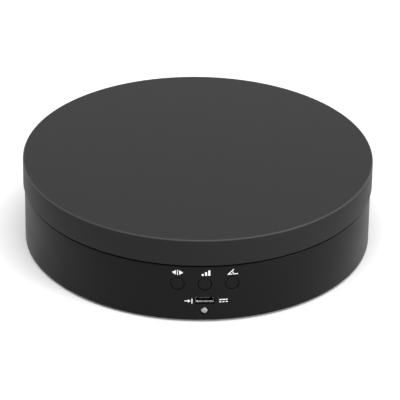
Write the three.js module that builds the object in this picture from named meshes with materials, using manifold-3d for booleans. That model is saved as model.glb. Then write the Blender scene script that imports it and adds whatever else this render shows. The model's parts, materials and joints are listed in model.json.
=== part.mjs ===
// A motorised turntable display stand: a round platter that turns on a round base with three push buttons,
// a micro-USB power inlet and a status light at the front. Millimetres, +Z up, the front faces -Y, and the
// origin is the middle of the plane that the rubber feet stand on.
//
// A stepping gear motor in the base drives a ring gear under the platter. The platter turns on a spindle in
// a ball bearing, and its track runs on four small rollers that carry the load near the rim. One round cell
// lies in a bay behind a door in the bottom cover.
import * as THREE from "three";
import { mergeVertices } from "three/addons/utils/BufferGeometryUtils.js";
import Module from "manifold-3d";

const wasm = await Module();
wasm.setup();

// ---------------------------------------------------------------- driving dimensions

const PLATTER_R = 73;
const TOTAL_HEIGHT = 38;
const PLATTER_SIDE = 11.7; // height of the platter's outer wall
const PLATTER_TOP_T = 2.8;
const PLATTER_WALL = 2.4;
const RUNNING_GAP = 0.8; // the line between the platter and the base
const BASE_R = PLATTER_R - 0.6;
const BASE_WALL = 2.2;
const DECK_T = 2; // the base's closed top
const COVER_T = 2;
const FOOT_PROUD = 0.8;

const SKIRT_Z = TOTAL_HEIGHT - PLATTER_SIDE;
const UNDERSIDE_Z = TOTAL_HEIGHT - PLATTER_TOP_T; // the platter's plate, seen from inside
const DECK_Z = SKIRT_Z - RUNNING_GAP; // top of the deck
const DECK_UNDER_Z = DECK_Z - DECK_T;
const BASE_IN_R = BASE_R - BASE_WALL;
const COVER_Z = FOOT_PROUD; // outer face of the bottom cover
const COVER_IN_Z = COVER_Z + COVER_T;
const COVER_R = BASE_IN_R - 0.3;
const LARGEST = 2 * PLATTER_R; // a length that reaches past the whole stand

// Control panel, seen from the front: x to the right, z up.
const BUTTON_PITCH = 11;
const BUTTON_Z = 17.6;
const BUTTON_HOLE_R = 2.9;
const BUTTON_R = 2.6;
const USB_Z = 10;
const SLOT_HALF_W = 4; // the socket's slot in the wall
const SLOT_HALF_H = 1.65;
const LED_Z = 5.2;
const LED_R = 1.5;
const PANEL_CUT_Y = -76; // cutters for the panel's holes run from here
const PAD_Y = -69.4; // to the flat inner face behind the buttons
const PAD_HALF_W = 15.2;
const PAD_HALF_H = 3.9;

// Circuit board, upright behind the front wall.
const BOARD_FRONT_Y = -64;
const BOARD_T = 1.6;
const BOARD_BACK_Y = BOARD_FRONT_Y + BOARD_T;
const BOARD_HALF_W = 19;
const BOARD_POST_X = 16.8;
const BOARD_POST_Z = 9;
const BOARD_POST_R = 2.4;
const WALL_SEAT_Y = -69.2; // where a post on the wall begins

// Drive: an internal ring gear and a motor pinion.
const MODULE = 1;
const RING_TEETH = 60;
const PINION_TEETH = 12;
const PRESSURE = (20 * Math.PI) / 180;
const BACKLASH = 0.16;
const RING_PITCH_R = (MODULE * RING_TEETH) / 2;
const PINION_PITCH_R = (MODULE * PINION_TEETH) / 2;
const GEAR_CENTRES = RING_PITCH_R - PINION_PITCH_R;
const MESH_ANGLE = (-52 * Math.PI) / 180; // where the pinion meets the ring
const PINION_X = GEAR_CENTRES * Math.cos(MESH_ANGLE);
const PINION_Y = GEAR_CENTRES * Math.sin(MESH_ANGLE);
const RING_Z = 28.3;
const RING_TOP_Z = 33.1;
const RING_OUT_R = 34.5;
const LUG_R = 38;
const LUG_HALF_W = 3.6;
const LUG_Z = RING_TOP_Z - 2.2;
const RIB_Z = RING_TOP_Z + 0.1;
const THIRDS = [0, 120, 240]; // directions of the ring gear's three lugs

// Gear motor: a round can with its shaft off centre and an ear each side.
const MOTOR_R = 14;
const SHAFT_OFFSET = 8;
const MOTOR_X = PINION_X + SHAFT_OFFSET;
const MOTOR_Y = PINION_Y;
const MOTOR_FACE_Z = 23;
const EAR_T = 0.8;
const EAR_SPACING = 17.5;
const EAR_R = 3.5;
const SHAFT_END_Z = 20.4; // the shaft's lower end, inside the can
const SHAFT_R = 2.5;
const SHAFT_HALF_FLAT = 1.5;
const SHAFT_BOSS_R = 4.5;
const MOTOR_BOTTOM_Z = MOTOR_FACE_Z - 19;

// Ball bearing, 6 x 19 x 6, and the spindle in it.
const SPINDLE_R = 3;
const BEARING_R = 9.5;
const BEARING_W = 6;
const BEARING_Z = 19.75;
const INNER_FACE_R = 4.7;
const OUTER_FACE_R = 7.7;
const BALL_R = 1.75;
const BALL_CIRCLE_R = 6.2;
const BALLS = 7;
const CLIP_Z = BEARING_Z - 0.55;
const CLIP_T = 0.5;
const GROOVE_R = 2.35; // the spindle's groove for the clip
const SPINDLE_TOP_Z = TOTAL_HEIGHT - 2;

// Rollers under the platter's track.
const ROLLER_COUNT = 4;
const ROLLER_R = 3.4;
const ROLLER_W = 5;
const TRACK_R = 60.5;
const TRACK_HALF = ROLLER_W / 2 + 0.7;
const TRACK_Z = 31.1;
const ROLLER_Z = TRACK_Z - ROLLER_R - 0.05;
const AXLE_R = 1;
const EAR_WALL = 1.5;
const AXLE_HOLE_R = AXLE_R + 0.12;

// Battery bay in the bottom cover, for one 18650 cell lying along X.
const CELL_R = 9.2;
const CELL_LENGTH = 65;
const BAY_Y = 24;
const BAY_HALF_X = 36;
const BAY_HALF_Y = 10.4;
const BAY_WALL = 1.4;
const BAY_ROOF_Z = 21.9;
const CELL_Z = 12.3;
const CELL_X = -31; // the cell's flat end, against the spring
const DOOR_T = 1.6;
const DOOR_GAP = 0.3;
const TONGUE_Y = 7;
const TONGUE_TOP_Z = 4.2;
const TONGUE_END_X = BAY_HALF_X + 3;
const LEAD_HOLE_Y = BAY_Y + 6.6;
const LEAD_HOLE_Z = 18;

const SCREW_CIRCLE_R = 62;
const SCREW_SEAT_Z = 4.5; // the cover screws' heads pull on this face
const SCREW_BOSS_Z = 6;
const SELF_TAP_R = 1.4; // hole that a screw cuts its thread in
const SCREW_ANGLES = [30, 150, 210, 330];
const FOOT_CIRCLE_R = 58;
const FOOT_ANGLES = [45, 135, 225, 315];
const FOOT_R = 5;
const FOOT_SUNK = 0.7;
const ROUND = 60; // sides of the large round parts
const OVER = 1; // how far a cutter runs past what it cuts

// ---------------------------------------------------------------- solids

// A closed three.js geometry as a manifold-3d solid, its faces turned outwards.
function solidOf(geometry) {
  const bare = new THREE.BufferGeometry();
  bare.setAttribute("position", geometry.getAttribute("position"));
  bare.setIndex(geometry.index);
  const merged = mergeVertices(bare, 1e-4);
  const index = merged.index.array;
  const corners = [];
  for (let i = 0; i < index.length; i += 3) {
    const [a, b, c] = [index[i], index[i + 1], index[i + 2]];
    if (a !== b && b !== c && a !== c) corners.push(a, b, c);
  }
  const vertProperties = merged.attributes.position.array;
  const make = (triVerts) =>
    new wasm.Manifold(new wasm.Mesh({ numProp: 3, vertProperties, triVerts }));
  const made = make(new Uint32Array(corners));
  return made.volume() < 0 ? make(new Uint32Array(corners.reverse())) : made;
}

function geometryOf(solid) {
  const mesh = solid.getMesh();
  const geometry = new THREE.BufferGeometry();
  geometry.setAttribute("position", new THREE.BufferAttribute(mesh.vertProperties, 3));
  geometry.setIndex(new THREE.BufferAttribute(mesh.triVerts, 1));
  geometry.computeVertexNormals();
  return geometry;
}

const join = (first, ...rest) => rest.reduce((sum, s) => sum.add(s), first);
const cut = (first, ...rest) => rest.reduce((sum, s) => sum.subtract(s), first);
const turn = (degrees) => (degrees * Math.PI) / 180;

// A solid turned about Z by an angle in degrees.
function turned(solid, degrees) {
  const geometry = geometryOf(solid);
  geometry.rotateZ(turn(degrees));
  return solidOf(geometry);
}

function block(x0, x1, y0, y1, z0, z1) {
  const geometry = new THREE.BoxGeometry(x1 - x0, y1 - y0, z1 - z0);
  geometry.translate((x0 + x1) / 2, (y0 + y1) / 2, (z0 + z1) / 2);
  return solidOf(geometry);
}

// A profile of [radius, height] points turned about Z.
function revolve(profile, segments) {
  const points = profile.map(([r, h]) => new THREE.Vector2(r, h));
  const geometry = new THREE.LatheGeometry(points, segments);
  geometry.rotateX(Math.PI / 2);
  return solidOf(geometry);
}

// A closed ring profile: the last point joins the first.
const ring = (profile, segments) => revolve([...profile, profile[0]], segments);

function post(x, y, r, z0, z1, segments = 24) {
  const geometry = new THREE.CylinderGeometry(r, r, z1 - z0, segments);
  geometry.rotateX(Math.PI / 2);
  geometry.translate(x, y, (z0 + z1) / 2);
  return solidOf(geometry);
}

// A cylinder along Y, and one along X.
function rodY(x, z, r, y0, y1, segments = 24) {
  const geometry = new THREE.CylinderGeometry(r, r, y1 - y0, segments);
  geometry.translate(x, (y0 + y1) / 2, z);
  return solidOf(geometry);
}

function rodX(y, z, r, x0, x1, segments = 24) {
  const geometry = new THREE.CylinderGeometry(r, r, x1 - x0, segments);
  geometry.rotateZ(Math.PI / 2);
  geometry.translate((x0 + x1) / 2, y, z);
  return solidOf(geometry);
}

// A profile of [radius, distance] turned about a line along -Y that starts at (x, y, z).
function revolveForward(profile, x, y, z, segments) {
  const geometry = geometryOf(revolve(profile, segments));
  geometry.rotateX(Math.PI / 2);
  geometry.translate(x, y, z);
  return solidOf(geometry);
}

function extrude(shape, z0, z1, curveSegments = 12) {
  const geometry = new THREE.ExtrudeGeometry(shape, {
    depth: z1 - z0,
    bevelEnabled: false,
    curveSegments,
  });
  geometry.translate(0, 0, z0);
  return solidOf(geometry);
}

function roundedRectangle(x0, x1, y0, y1, r) {
  const shape = new THREE.Shape();
  shape.moveTo(x0 + r, y0);
  shape.lineTo(x1 - r, y0);
  shape.absarc(x1 - r, y0 + r, r, -Math.PI / 2, 0, false);
  shape.lineTo(x1, y1 - r);
  shape.absarc(x1 - r, y1 - r, r, 0, Math.PI / 2, false);
  shape.lineTo(x0 + r, y1);
  shape.absarc(x0 + r, y1 - r, r, Math.PI / 2, Math.PI, false);
  shape.lineTo(x0, y0 + r);
  shape.absarc(x0 + r, y0 + r, r, Math.PI, 1.5 * Math.PI, false);
  return shape;
}

// A round wire of radius r along a curve.
function wire(curve, r, steps, sides = 8) {
  const section = new THREE.Shape();
  for (let i = 0; i < sides; i++) {
    const a = (2 * Math.PI * i) / sides;
    const place = [r * Math.cos(a), r * Math.sin(a)];
    if (i) section.lineTo(...place);
    else section.moveTo(...place);
  }
  return solidOf(new THREE.ExtrudeGeometry(section, { steps, extrudePath: curve }));
}

const through = (points) =>
  new THREE.CatmullRomCurve3(points.map((p) => new THREE.Vector3(...p)));

// ---------------------------------------------------------------- materials and the assembly

const paint = (color, roughness, metalness = 0) =>
  new THREE.MeshStandardMaterial({ color, roughness, metalness });

const MATERIALS = {
  platter: paint(0x3b3b3b, 0.62),
  base: paint(0x262626, 0.5),
  cover: paint(0x232323, 0.6),
  button: paint(0x242424, 0.45),
  rubber: paint(0x1a1a1a, 0.9),
  screw: paint(0x5c5d5f, 0.35, 0.9),
  steel: paint(0xb9bbbd, 0.28, 1),
  can: paint(0xc4c6c6, 0.35, 0.9),
  nylon: paint(0xe6e3da, 0.55),
  brass: paint(0xb8903f, 0.35, 1),
  blue: paint(0x2b62b5, 0.5),
  board: paint(0x1f6b3a, 0.45),
  chip: paint(0x1c1c1e, 0.55),
  connector: paint(0xe9e6dc, 0.6),
  nickel: paint(0xc9c6bd, 0.25, 1),
  lens: paint(0xc8c8c6, 0.2),
  wrap: paint(0x2f9a8c, 0.35),
  redWire: paint(0xb5241f, 0.5),
  blackWire: paint(0x202022, 0.5),
  greyWire: paint(0x8b8b8d, 0.5),
};

const stand = new THREE.Group();

function add(name, solid, material, parent = stand) {
  const mesh = new THREE.Mesh(geometryOf(solid), MATERIALS[material]);
  mesh.name = name;
  parent.add(mesh);
  return mesh;
}

// A group on a circle about Z, turned so that its own +X points outwards.
function around(degrees, radius = 0) {
  const group = new THREE.Group();
  group.rotation.z = turn(degrees);
  group.position.set(
    radius * Math.cos(turn(degrees)),
    radius * Math.sin(turn(degrees)),
    0,
  );
  stand.add(group);
  return group;
}

// A pan-head screw on the Z axis that drives towards +Z, with a cross recess. The head's seat is at z = 0.
function panScrew(headR, headH, shankR, length) {
  const SLOT = 0.8;
  const body = revolve(
    [
      [0, -headH],
      [headR - 0.6, -headH],
      [headR, -headH + 0.6],
      [headR, 0],
      [shankR, 0],
      [shankR, length],
      [0, length],
    ],
    12,
  );
  const reach = headR * 0.6;
  const depth = headH * 0.55;
  return cut(
    body,
    block(-reach, reach, -SLOT / 2, SLOT / 2, -headH - OVER, -headH + depth),
    block(-SLOT / 2, SLOT / 2, -reach, reach, -headH - OVER, -headH + depth),
  );
}

// ---------------------------------------------------------------- gears

const involute = (angle) => Math.tan(angle) - angle;

// Half the angle that a tooth's flank encloses at radius r, for a gear whose half tooth at the pitch
// circle is halfPitch. Below the base circle the flank is radial.
function halfAngle(r, pitchR, halfPitch) {
  const baseR = pitchR * Math.cos(PRESSURE);
  const at = r > baseR ? Math.acos(baseR / r) : 0;
  return halfPitch + involute(PRESSURE) - involute(at);
}

// An outline whose teeth have flanks through the given radii, from root to tip, about a first tooth at
// the angle start. An internal gear's opening is the same outline with its spaces drawn as teeth.
function toothOutline(teeth, pitchR, radii, thickening, start) {
  const halfPitch = Math.PI / (2 * teeth) + thickening / (2 * pitchR);
  const path = [];
  for (let i = 0; i < teeth; i++) {
    const middle = start + (2 * Math.PI * i) / teeth;
    for (const r of radii) path.push([r, middle - halfAngle(r, pitchR, halfPitch)]);
    for (const r of [...radii].reverse())
      path.push([r, middle + halfAngle(r, pitchR, halfPitch)]);
  }
  return path.map(([r, a]) => new THREE.Vector2(r * Math.cos(a), r * Math.sin(a)));
}

function makeRingGear() {
  const tipR = RING_PITCH_R - 0.5 * MODULE;
  const rootR = RING_PITCH_R + 1.2 * MODULE;
  const SCREW_HOLE_R = 1.65;
  const rim = new THREE.Shape();
  rim.absarc(0, 0, RING_OUT_R, 0, 2 * Math.PI, false);
  const opening = toothOutline(
    RING_TEETH,
    RING_PITCH_R,
    [tipR, rootR],
    BACKLASH,
    MESH_ANGLE,
  );
  rim.holes.push(new THREE.Path(opening));
  let gear = extrude(rim, RING_Z, RING_TOP_Z, 36);
  for (const degrees of THIRDS) {
    const lug = join(
      block(RING_OUT_R - 1.5, LUG_R, -LUG_HALF_W, LUG_HALF_W, LUG_Z, RING_TOP_Z),
      post(LUG_R, 0, LUG_HALF_W, LUG_Z, RING_TOP_Z, 16),
    );
    const hole = post(LUG_R, 0, SCREW_HOLE_R, LUG_Z - OVER, RING_TOP_Z + OVER, 12);
    gear = gear.add(turned(lug, degrees)).subtract(turned(hole, degrees));
  }
  return gear;
}

// A round shaft with two flats, as an outline to extrude.
function flattedRound(r, halfFlat) {
  const a = Math.asin(halfFlat / r);
  const shape = new THREE.Shape();
  shape.absarc(0, 0, r, -a, a, false);
  shape.absarc(0, 0, r, Math.PI - a, Math.PI + a, false);
  return shape;
}

function makePinion() {
  const rootR = PINION_PITCH_R - 1.25 * MODULE;
  const tipR = PINION_PITCH_R + MODULE;
  const outline = toothOutline(
    PINION_TEETH,
    PINION_PITCH_R,
    [rootR, PINION_PITCH_R, tipR],
    -BACKLASH,
    MESH_ANGLE,
  );
  const INSET = 0.4; // the pinion is narrower than the ring
  const gear = extrude(new THREE.Shape(outline), RING_Z + INSET, RING_TOP_Z - INSET);
  const bore = flattedRound(SHAFT_R + 0.12, SHAFT_HALF_FLAT + 0.1);
  return gear.subtract(extrude(bore, RING_Z, RING_TOP_Z, 4));
}

// ---------------------------------------------------------------- platter

function makePlatter() {
  const EDGE = 0.7;
  const LOWER_EDGE = 0.4;
  const RIB_HALF_T = 0.8;
  const RIB_COUNT = 6;
  const skirtIn = PLATTER_R - PLATTER_WALL;
  const HUB_R = 9;
  const NOSE_R = 4.6; // it rests on the bearing's inner ring
  const NOSE_H = 2.2;
  const noseZ = BEARING_Z + BEARING_W + 0.05;
  let disc = revolve(
    [
      [0, TOTAL_HEIGHT],
      [PLATTER_R - EDGE, TOTAL_HEIGHT],
      [PLATTER_R - EDGE * 0.3, TOTAL_HEIGHT - EDGE * 0.3],
      [PLATTER_R, TOTAL_HEIGHT - EDGE],
      [PLATTER_R, SKIRT_Z + LOWER_EDGE],
      [PLATTER_R - LOWER_EDGE, SKIRT_Z],
      [skirtIn, SKIRT_Z],
      [skirtIn, UNDERSIDE_Z],
      [0, UNDERSIDE_Z],
    ],
    ROUND,
  );
  const track = ring(
    [
      [TRACK_R - TRACK_HALF, TRACK_Z],
      [TRACK_R + TRACK_HALF, TRACK_Z],
      [TRACK_R + TRACK_HALF, UNDERSIDE_Z + OVER],
      [TRACK_R - TRACK_HALF, UNDERSIDE_Z + OVER],
    ],
    40,
  );
  disc = disc.add(track);
  const hub = revolve(
    [
      [0, UNDERSIDE_Z + OVER],
      [HUB_R, UNDERSIDE_Z + OVER],
      [HUB_R, noseZ + NOSE_H],
      [NOSE_R, noseZ + NOSE_H],
      [NOSE_R, noseZ],
      [0, noseZ],
    ],
    24,
  );
  disc = disc.add(hub);
  for (let i = 0; i < RIB_COUNT; i++) {
    const rib = block(
      HUB_R - OVER,
      TRACK_R - TRACK_HALF + OVER,
      -RIB_HALF_T,
      RIB_HALF_T,
      RIB_Z,
      UNDERSIDE_Z + OVER,
    );
    disc = disc.add(turned(rib, (360 * (i + 0.5)) / RIB_COUNT));
  }
  for (const degrees of THIRDS) {
    const boss = post(LUG_R, 0, LUG_HALF_W, RING_TOP_Z + 0.05, UNDERSIDE_Z + OVER, 16);
    const hole = post(LUG_R, 0, SELF_TAP_R, RING_TOP_Z - OVER, TOTAL_HEIGHT - 1.1, 8);
    disc = disc.add(turned(boss, degrees)).subtract(turned(hole, degrees));
  }
  return disc.subtract(post(0, 0, SPINDLE_R + 0.06, noseZ - OVER, SPINDLE_TOP_Z + 0.3, 24));
}

function makeSpindle() {
  const PLAY = 0.05;
  const POINT = 0.5;
  const bottom = CLIP_Z - 0.9;
  return revolve(
    [
      [0, bottom],
      [SPINDLE_R - POINT, bottom],
      [SPINDLE_R, bottom + POINT],
      [SPINDLE_R, CLIP_Z - PLAY],
      [GROOVE_R, CLIP_Z - PLAY],
      [GROOVE_R, CLIP_Z + CLIP_T + PLAY],
      [SPINDLE_R, CLIP_Z + CLIP_T + PLAY],
      [SPINDLE_R, SPINDLE_TOP_Z],
      [0, SPINDLE_TOP_Z],
    ],
    20,
  );
}

// A snap ring with an open side that grips the spindle's groove.
function makeClip() {
  const OPEN = 0.6; // half the opening's angle, in radians
  const INNER_OPEN = 1.6 * OPEN;
  const CLIP_R = 5.4;
  const shape = new THREE.Shape();
  shape.absarc(0, 0, CLIP_R, OPEN, 2 * Math.PI - OPEN, false);
  shape.absarc(0, 0, GROOVE_R + 0.1, 2 * Math.PI - INNER_OPEN, INNER_OPEN, true);
  return extrude(shape, CLIP_Z, CLIP_Z + CLIP_T, 8);
}

// One ring of the bearing, with its ball groove facing the other ring.
function makeRace(faceR, backR) {
  const GROOVE = BALL_R + 0.17;
  const middle = BEARING_Z + BEARING_W / 2;
  const side = Math.sign(faceR - BALL_CIRCLE_R);
  const reach = Math.acos(Math.abs(faceR - BALL_CIRCLE_R) / GROOVE);
  const groove = [];
  for (const i of [-1, 0, 1]) {
    const a = reach * i;
    groove.push([
      BALL_CIRCLE_R + side * GROOVE * Math.cos(a),
      middle + GROOVE * Math.sin(a),
    ]);
  }
  return ring(
    [
      [backR, BEARING_Z],
      [faceR, BEARING_Z],
      ...groove,
      [faceR, BEARING_Z + BEARING_W],
      [backR, BEARING_Z + BEARING_W],
    ],
    20,
  );
}

// The balls and the cage that spaces them, which turn together.
function makeBallCage() {
  const middle = BEARING_Z + BEARING_W / 2;
  const CAGE_HALF_W = 0.55;
  const CAGE_HALF_H = 0.5;
  let cage = ring(
    [
      [BALL_CIRCLE_R - CAGE_HALF_W, middle - CAGE_HALF_H],
      [BALL_CIRCLE_R + CAGE_HALF_W, middle - CAGE_HALF_H],
      [BALL_CIRCLE_R + CAGE_HALF_W, middle + CAGE_HALF_H],
      [BALL_CIRCLE_R - CAGE_HALF_W, middle + CAGE_HALF_H],
    ],
    14,
  );
  for (let i = 0; i < BALLS; i++) {
    const a = (2 * Math.PI * i) / BALLS;
    const ball = new THREE.IcosahedronGeometry(BALL_R, 1);
    ball.translate(BALL_CIRCLE_R * Math.cos(a), BALL_CIRCLE_R * Math.sin(a), middle);
    cage = cage.add(solidOf(ball));
  }
  return cage;
}

// ---------------------------------------------------------------- base housing

// A rim on the deck, inside the platter's skirt, that keeps dust out.
function makeDustRim() {
  const RIM_IN = 67;
  const RIM_OUT = 68.6;
  const RIM_H = 2.6;
  return ring(
    [
      [RIM_IN, DECK_Z - OVER],
      [RIM_OUT, DECK_Z - OVER],
      [RIM_OUT, DECK_Z + RIM_H],
      [RIM_IN, DECK_Z + RIM_H],
    ],
    40,
  );
}

// The bearing drops into a seat in the deck, down to a lip.
function addBearingSeat(body) {
  const BOSS_R = 11.8;
  const SEAT_R = BEARING_R + 0.1;
  const LIP_R = 7.8;
  const lipZ = BEARING_Z - 1.4;
  return body
    .add(post(0, 0, BOSS_R, lipZ, DECK_UNDER_Z + OVER, 24))
    .subtract(post(0, 0, SEAT_R, BEARING_Z - 0.1, DECK_Z + OVER, 24))
    .subtract(post(0, 0, LIP_R, lipZ - OVER, BEARING_Z, 20));
}

// The wall is flat inside behind the buttons, and holes let the buttons, the light and the plug through.
function addPanel(body) {
  const low = BUTTON_Z - PAD_HALF_H;
  const high = BUTTON_Z + PAD_HALF_H;
  const pad = block(-PAD_HALF_W, PAD_HALF_W, PAD_Y - BASE_WALL, PAD_Y, low, high);
  let panel = body
    .add(pad.intersect(post(0, 0, BASE_R - 0.5, 0, DECK_Z, ROUND)))
    .subtract(block(-PAD_HALF_W, PAD_HALF_W, PAD_Y, BOARD_FRONT_Y, low, high));
  for (const x of [-BUTTON_PITCH, 0, BUTTON_PITCH])
    panel = panel.subtract(rodY(x, BUTTON_Z, BUTTON_HOLE_R, PANEL_CUT_Y, PAD_Y + OVER, 24));
  const inside = PAD_Y + 3.4;
  return panel
    .subtract(rodY(0, LED_Z, LED_R + 0.25, PANEL_CUT_Y, inside, 16))
    .subtract(
      block(
        -SLOT_HALF_W,
        SLOT_HALF_W,
        PANEL_CUT_Y,
        inside,
        USB_Z - SLOT_HALF_H,
        USB_Z + SLOT_HALF_H,
      ),
    );
}

// Posts on the wall for the circuit board's two screws.
function addBoardPosts(body) {
  const HOLE_R = 1.2;
  let held = body;
  for (const x of [-BOARD_POST_X, BOARD_POST_X]) {
    const stud = rodY(x, BOARD_POST_Z, BOARD_POST_R, WALL_SEAT_Y, BOARD_FRONT_Y - 0.05, 12);
    const hole = rodY(x, BOARD_POST_Z, HOLE_R, WALL_SEAT_Y + OVER, BOARD_FRONT_Y + OVER, 8);
    held = held.add(stud).subtract(hole);
  }
  return held;
}

// The motor hangs from the deck: its shaft comes up through a hole between two screw bosses.
function addMotorBosses(body) {
  const SHAFT_HOLE_R = 4.8;
  const BOSS_R = 3.4;
  const BOSS_H = 2.3; // above the deck
  const HOLE_R = 1.5;
  let held = body.subtract(
    post(PINION_X, PINION_Y, SHAFT_HOLE_R, DECK_UNDER_Z - OVER, DECK_Z + OVER, 24),
  );
  for (const side of [-1, 1]) {
    const y = MOTOR_Y + side * EAR_SPACING;
    held = held
      .add(post(MOTOR_X, y, BOSS_R, MOTOR_FACE_Z, DECK_Z + BOSS_H, 12))
      .subtract(post(MOTOR_X, y, HOLE_R, MOTOR_FACE_Z - OVER, DECK_Z + BOSS_H - 0.6, 8));
  }
  return held;
}

// Each roller runs in a pocket through the deck, on an axle held by two ears.
function addRollerPockets(body) {
  const EAR_HALF_L = 3;
  const POCKET_HALF_L = 4.3;
  const inner = TRACK_R - ROLLER_W / 2 - 0.3;
  const outer = TRACK_R + ROLLER_W / 2 + 0.3;
  const earTop = ROLLER_Z + 2.2;
  let held = body;
  for (let i = 0; i < ROLLER_COUNT; i++) {
    const degrees = 45 + (360 * i) / ROLLER_COUNT;
    const ears = join(
      block(inner - EAR_WALL, inner, -EAR_HALF_L, EAR_HALF_L, DECK_Z - OVER, earTop),
      block(outer, outer + EAR_WALL, -EAR_HALF_L, EAR_HALF_L, DECK_Z - OVER, earTop),
    );
    const pocket = block(
      inner,
      outer,
      -POCKET_HALF_L,
      POCKET_HALF_L,
      DECK_UNDER_Z - OVER,
      DECK_Z + OVER,
    );
    const reach = 2 * EAR_WALL;
    const bore = rodX(0, ROLLER_Z, AXLE_HOLE_R, inner - reach, outer + reach, 8);
    held = held.add(turned(ears, degrees)).subtract(turned(join(pocket, bore), degrees));
  }
  return held;
}

// Columns for the bottom cover's screws, each tied to the wall by a web.
function addScrewColumns(body) {
  const COLUMN_R = 3.6;
  const WEB_HALF_T = 0.8;
  const WEB_Z = 9;
  const HOLE_TOP_Z = 15;
  let held = body;
  for (const degrees of SCREW_ANGLES) {
    const column = join(
      post(SCREW_CIRCLE_R, 0, COLUMN_R, SCREW_BOSS_Z + 0.1, DECK_UNDER_Z + OVER, 12),
      block(
        SCREW_CIRCLE_R,
        BASE_IN_R + 0.8,
        -WEB_HALF_T,
        WEB_HALF_T,
        WEB_Z,
        DECK_UNDER_Z + OVER,
      ),
    );
    const hole = post(SCREW_CIRCLE_R, 0, SELF_TAP_R, SCREW_BOSS_Z - OVER, HOLE_TOP_Z, 8);
    held = held.add(turned(column, degrees)).subtract(turned(hole, degrees));
  }
  return held;
}

function makeHousing() {
  const LOWER_EDGE = 0.5;
  const UPPER_EDGE = 0.3;
  const shell = revolve(
    [
      [0, DECK_UNDER_Z],
      [BASE_IN_R, DECK_UNDER_Z],
      [BASE_IN_R, COVER_Z],
      [BASE_R - LOWER_EDGE, COVER_Z],
      [BASE_R, COVER_Z + LOWER_EDGE],
      [BASE_R, DECK_Z - UPPER_EDGE],
      [BASE_R - UPPER_EDGE, DECK_Z],
      [0, DECK_Z],
    ],
    ROUND,
  );
  const features = [
    addBearingSeat,
    addPanel,
    addBoardPosts,
    addMotorBosses,
    addRollerPockets,
    addScrewColumns,
  ];
  return features.reduce((body, feature) => feature(body), shell.add(makeDustRim()));
}

// ---------------------------------------------------------------- bottom cover, feet and battery door

// A low rim that centres the cover in the housing. It stops short of the circuit board.
function makeCoverRim() {
  const RIM_IN = 67.8;
  const RIM_OUT = 69;
  const top = COVER_IN_Z + 1.5;
  const bottom = COVER_IN_Z - 0.5;
  const full = ring(
    [
      [RIM_IN, bottom],
      [RIM_OUT, bottom],
      [RIM_OUT, top],
      [RIM_IN, top],
    ],
    40,
  );
  const clear = BOARD_HALF_W + 3;
  return full.subtract(block(-clear, clear, -LARGEST, 0, COVER_IN_Z, top + OVER));
}

// The tub that holds the cell, with slots for the door's tongues and a way out for each lead.
function addBay(plate) {
  const ROOF_T = 1.2;
  const NOTCH_R = 5.5;
  const TONGUE_SLOT_HALF_W = 2.4;
  const TONGUE_SLOT_Z = 6.8;
  const end = BAY_HALF_X;
  const front = BAY_Y - BAY_HALF_Y;
  const back = BAY_Y + BAY_HALF_Y;
  const tub = block(
    -end - BAY_WALL,
    end + BAY_WALL,
    front - BAY_WALL,
    back + BAY_WALL,
    COVER_IN_Z - OVER,
    BAY_ROOF_Z + ROOF_T,
  );
  let bay = plate.add(tub).subtract(block(-end, end, front, back, COVER_Z - OVER, BAY_ROOF_Z));
  for (const side of [-1, 1]) {
    const y = BAY_Y + side * TONGUE_Y;
    const slot = block(
      end - 0.1,
      end + BAY_WALL + OVER,
      y - TONGUE_SLOT_HALF_W,
      y + TONGUE_SLOT_HALF_W,
      COVER_IN_Z,
      TONGUE_SLOT_Z,
    );
    const wallX = side * (end + BAY_WALL / 2);
    const leadHole = rodX(LEAD_HOLE_Y, LEAD_HOLE_Z, 1, wallX - 2, wallX + 2, 12);
    bay = bay.subtract(slot).subtract(leadHole);
  }
  return bay.subtract(post(-end, BAY_Y, NOTCH_R, COVER_Z - OVER, COVER_Z + 1, 24));
}

function makeCover() {
  const EDGE = 0.4;
  const BOSS_R = 4.8;
  const HEAD_HOLE_R = 3.3;
  const SHANK_HOLE_R = 1.7;
  const disc = revolve(
    [
      [0, COVER_Z],
      [COVER_R - EDGE, COVER_Z],
      [COVER_R, COVER_Z + EDGE],
      [COVER_R, COVER_IN_Z],
      [0, COVER_IN_Z],
    ],
    ROUND,
  );
  let plate = addBay(disc.add(makeCoverRim()));
  for (const degrees of SCREW_ANGLES) {
    const boss = post(SCREW_CIRCLE_R, 0, BOSS_R, COVER_IN_Z - OVER, SCREW_BOSS_Z, 16);
    const bore = join(
      post(SCREW_CIRCLE_R, 0, HEAD_HOLE_R, COVER_Z - OVER, SCREW_SEAT_Z, 16),
      post(SCREW_CIRCLE_R, 0, SHANK_HOLE_R, COVER_Z, SCREW_BOSS_Z + OVER, 8),
    );
    plate = plate.add(turned(boss, degrees)).subtract(turned(bore, degrees));
  }
  for (const degrees of FOOT_ANGLES) {
    const seat = post(FOOT_CIRCLE_R, 0, FOOT_R + 0.3, COVER_Z - OVER, COVER_Z + FOOT_SUNK, 20);
    plate = plate.subtract(turned(seat, degrees));
  }
  return plate;
}

function makeFoot() {
  const EDGE = 0.4;
  const top = FOOT_PROUD + FOOT_SUNK - 0.02;
  return revolve(
    [
      [0, 0],
      [FOOT_R - EDGE, 0],
      [FOOT_R, EDGE],
      [FOOT_R, top],
      [0, top],
    ],
    20,
  );
}

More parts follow.
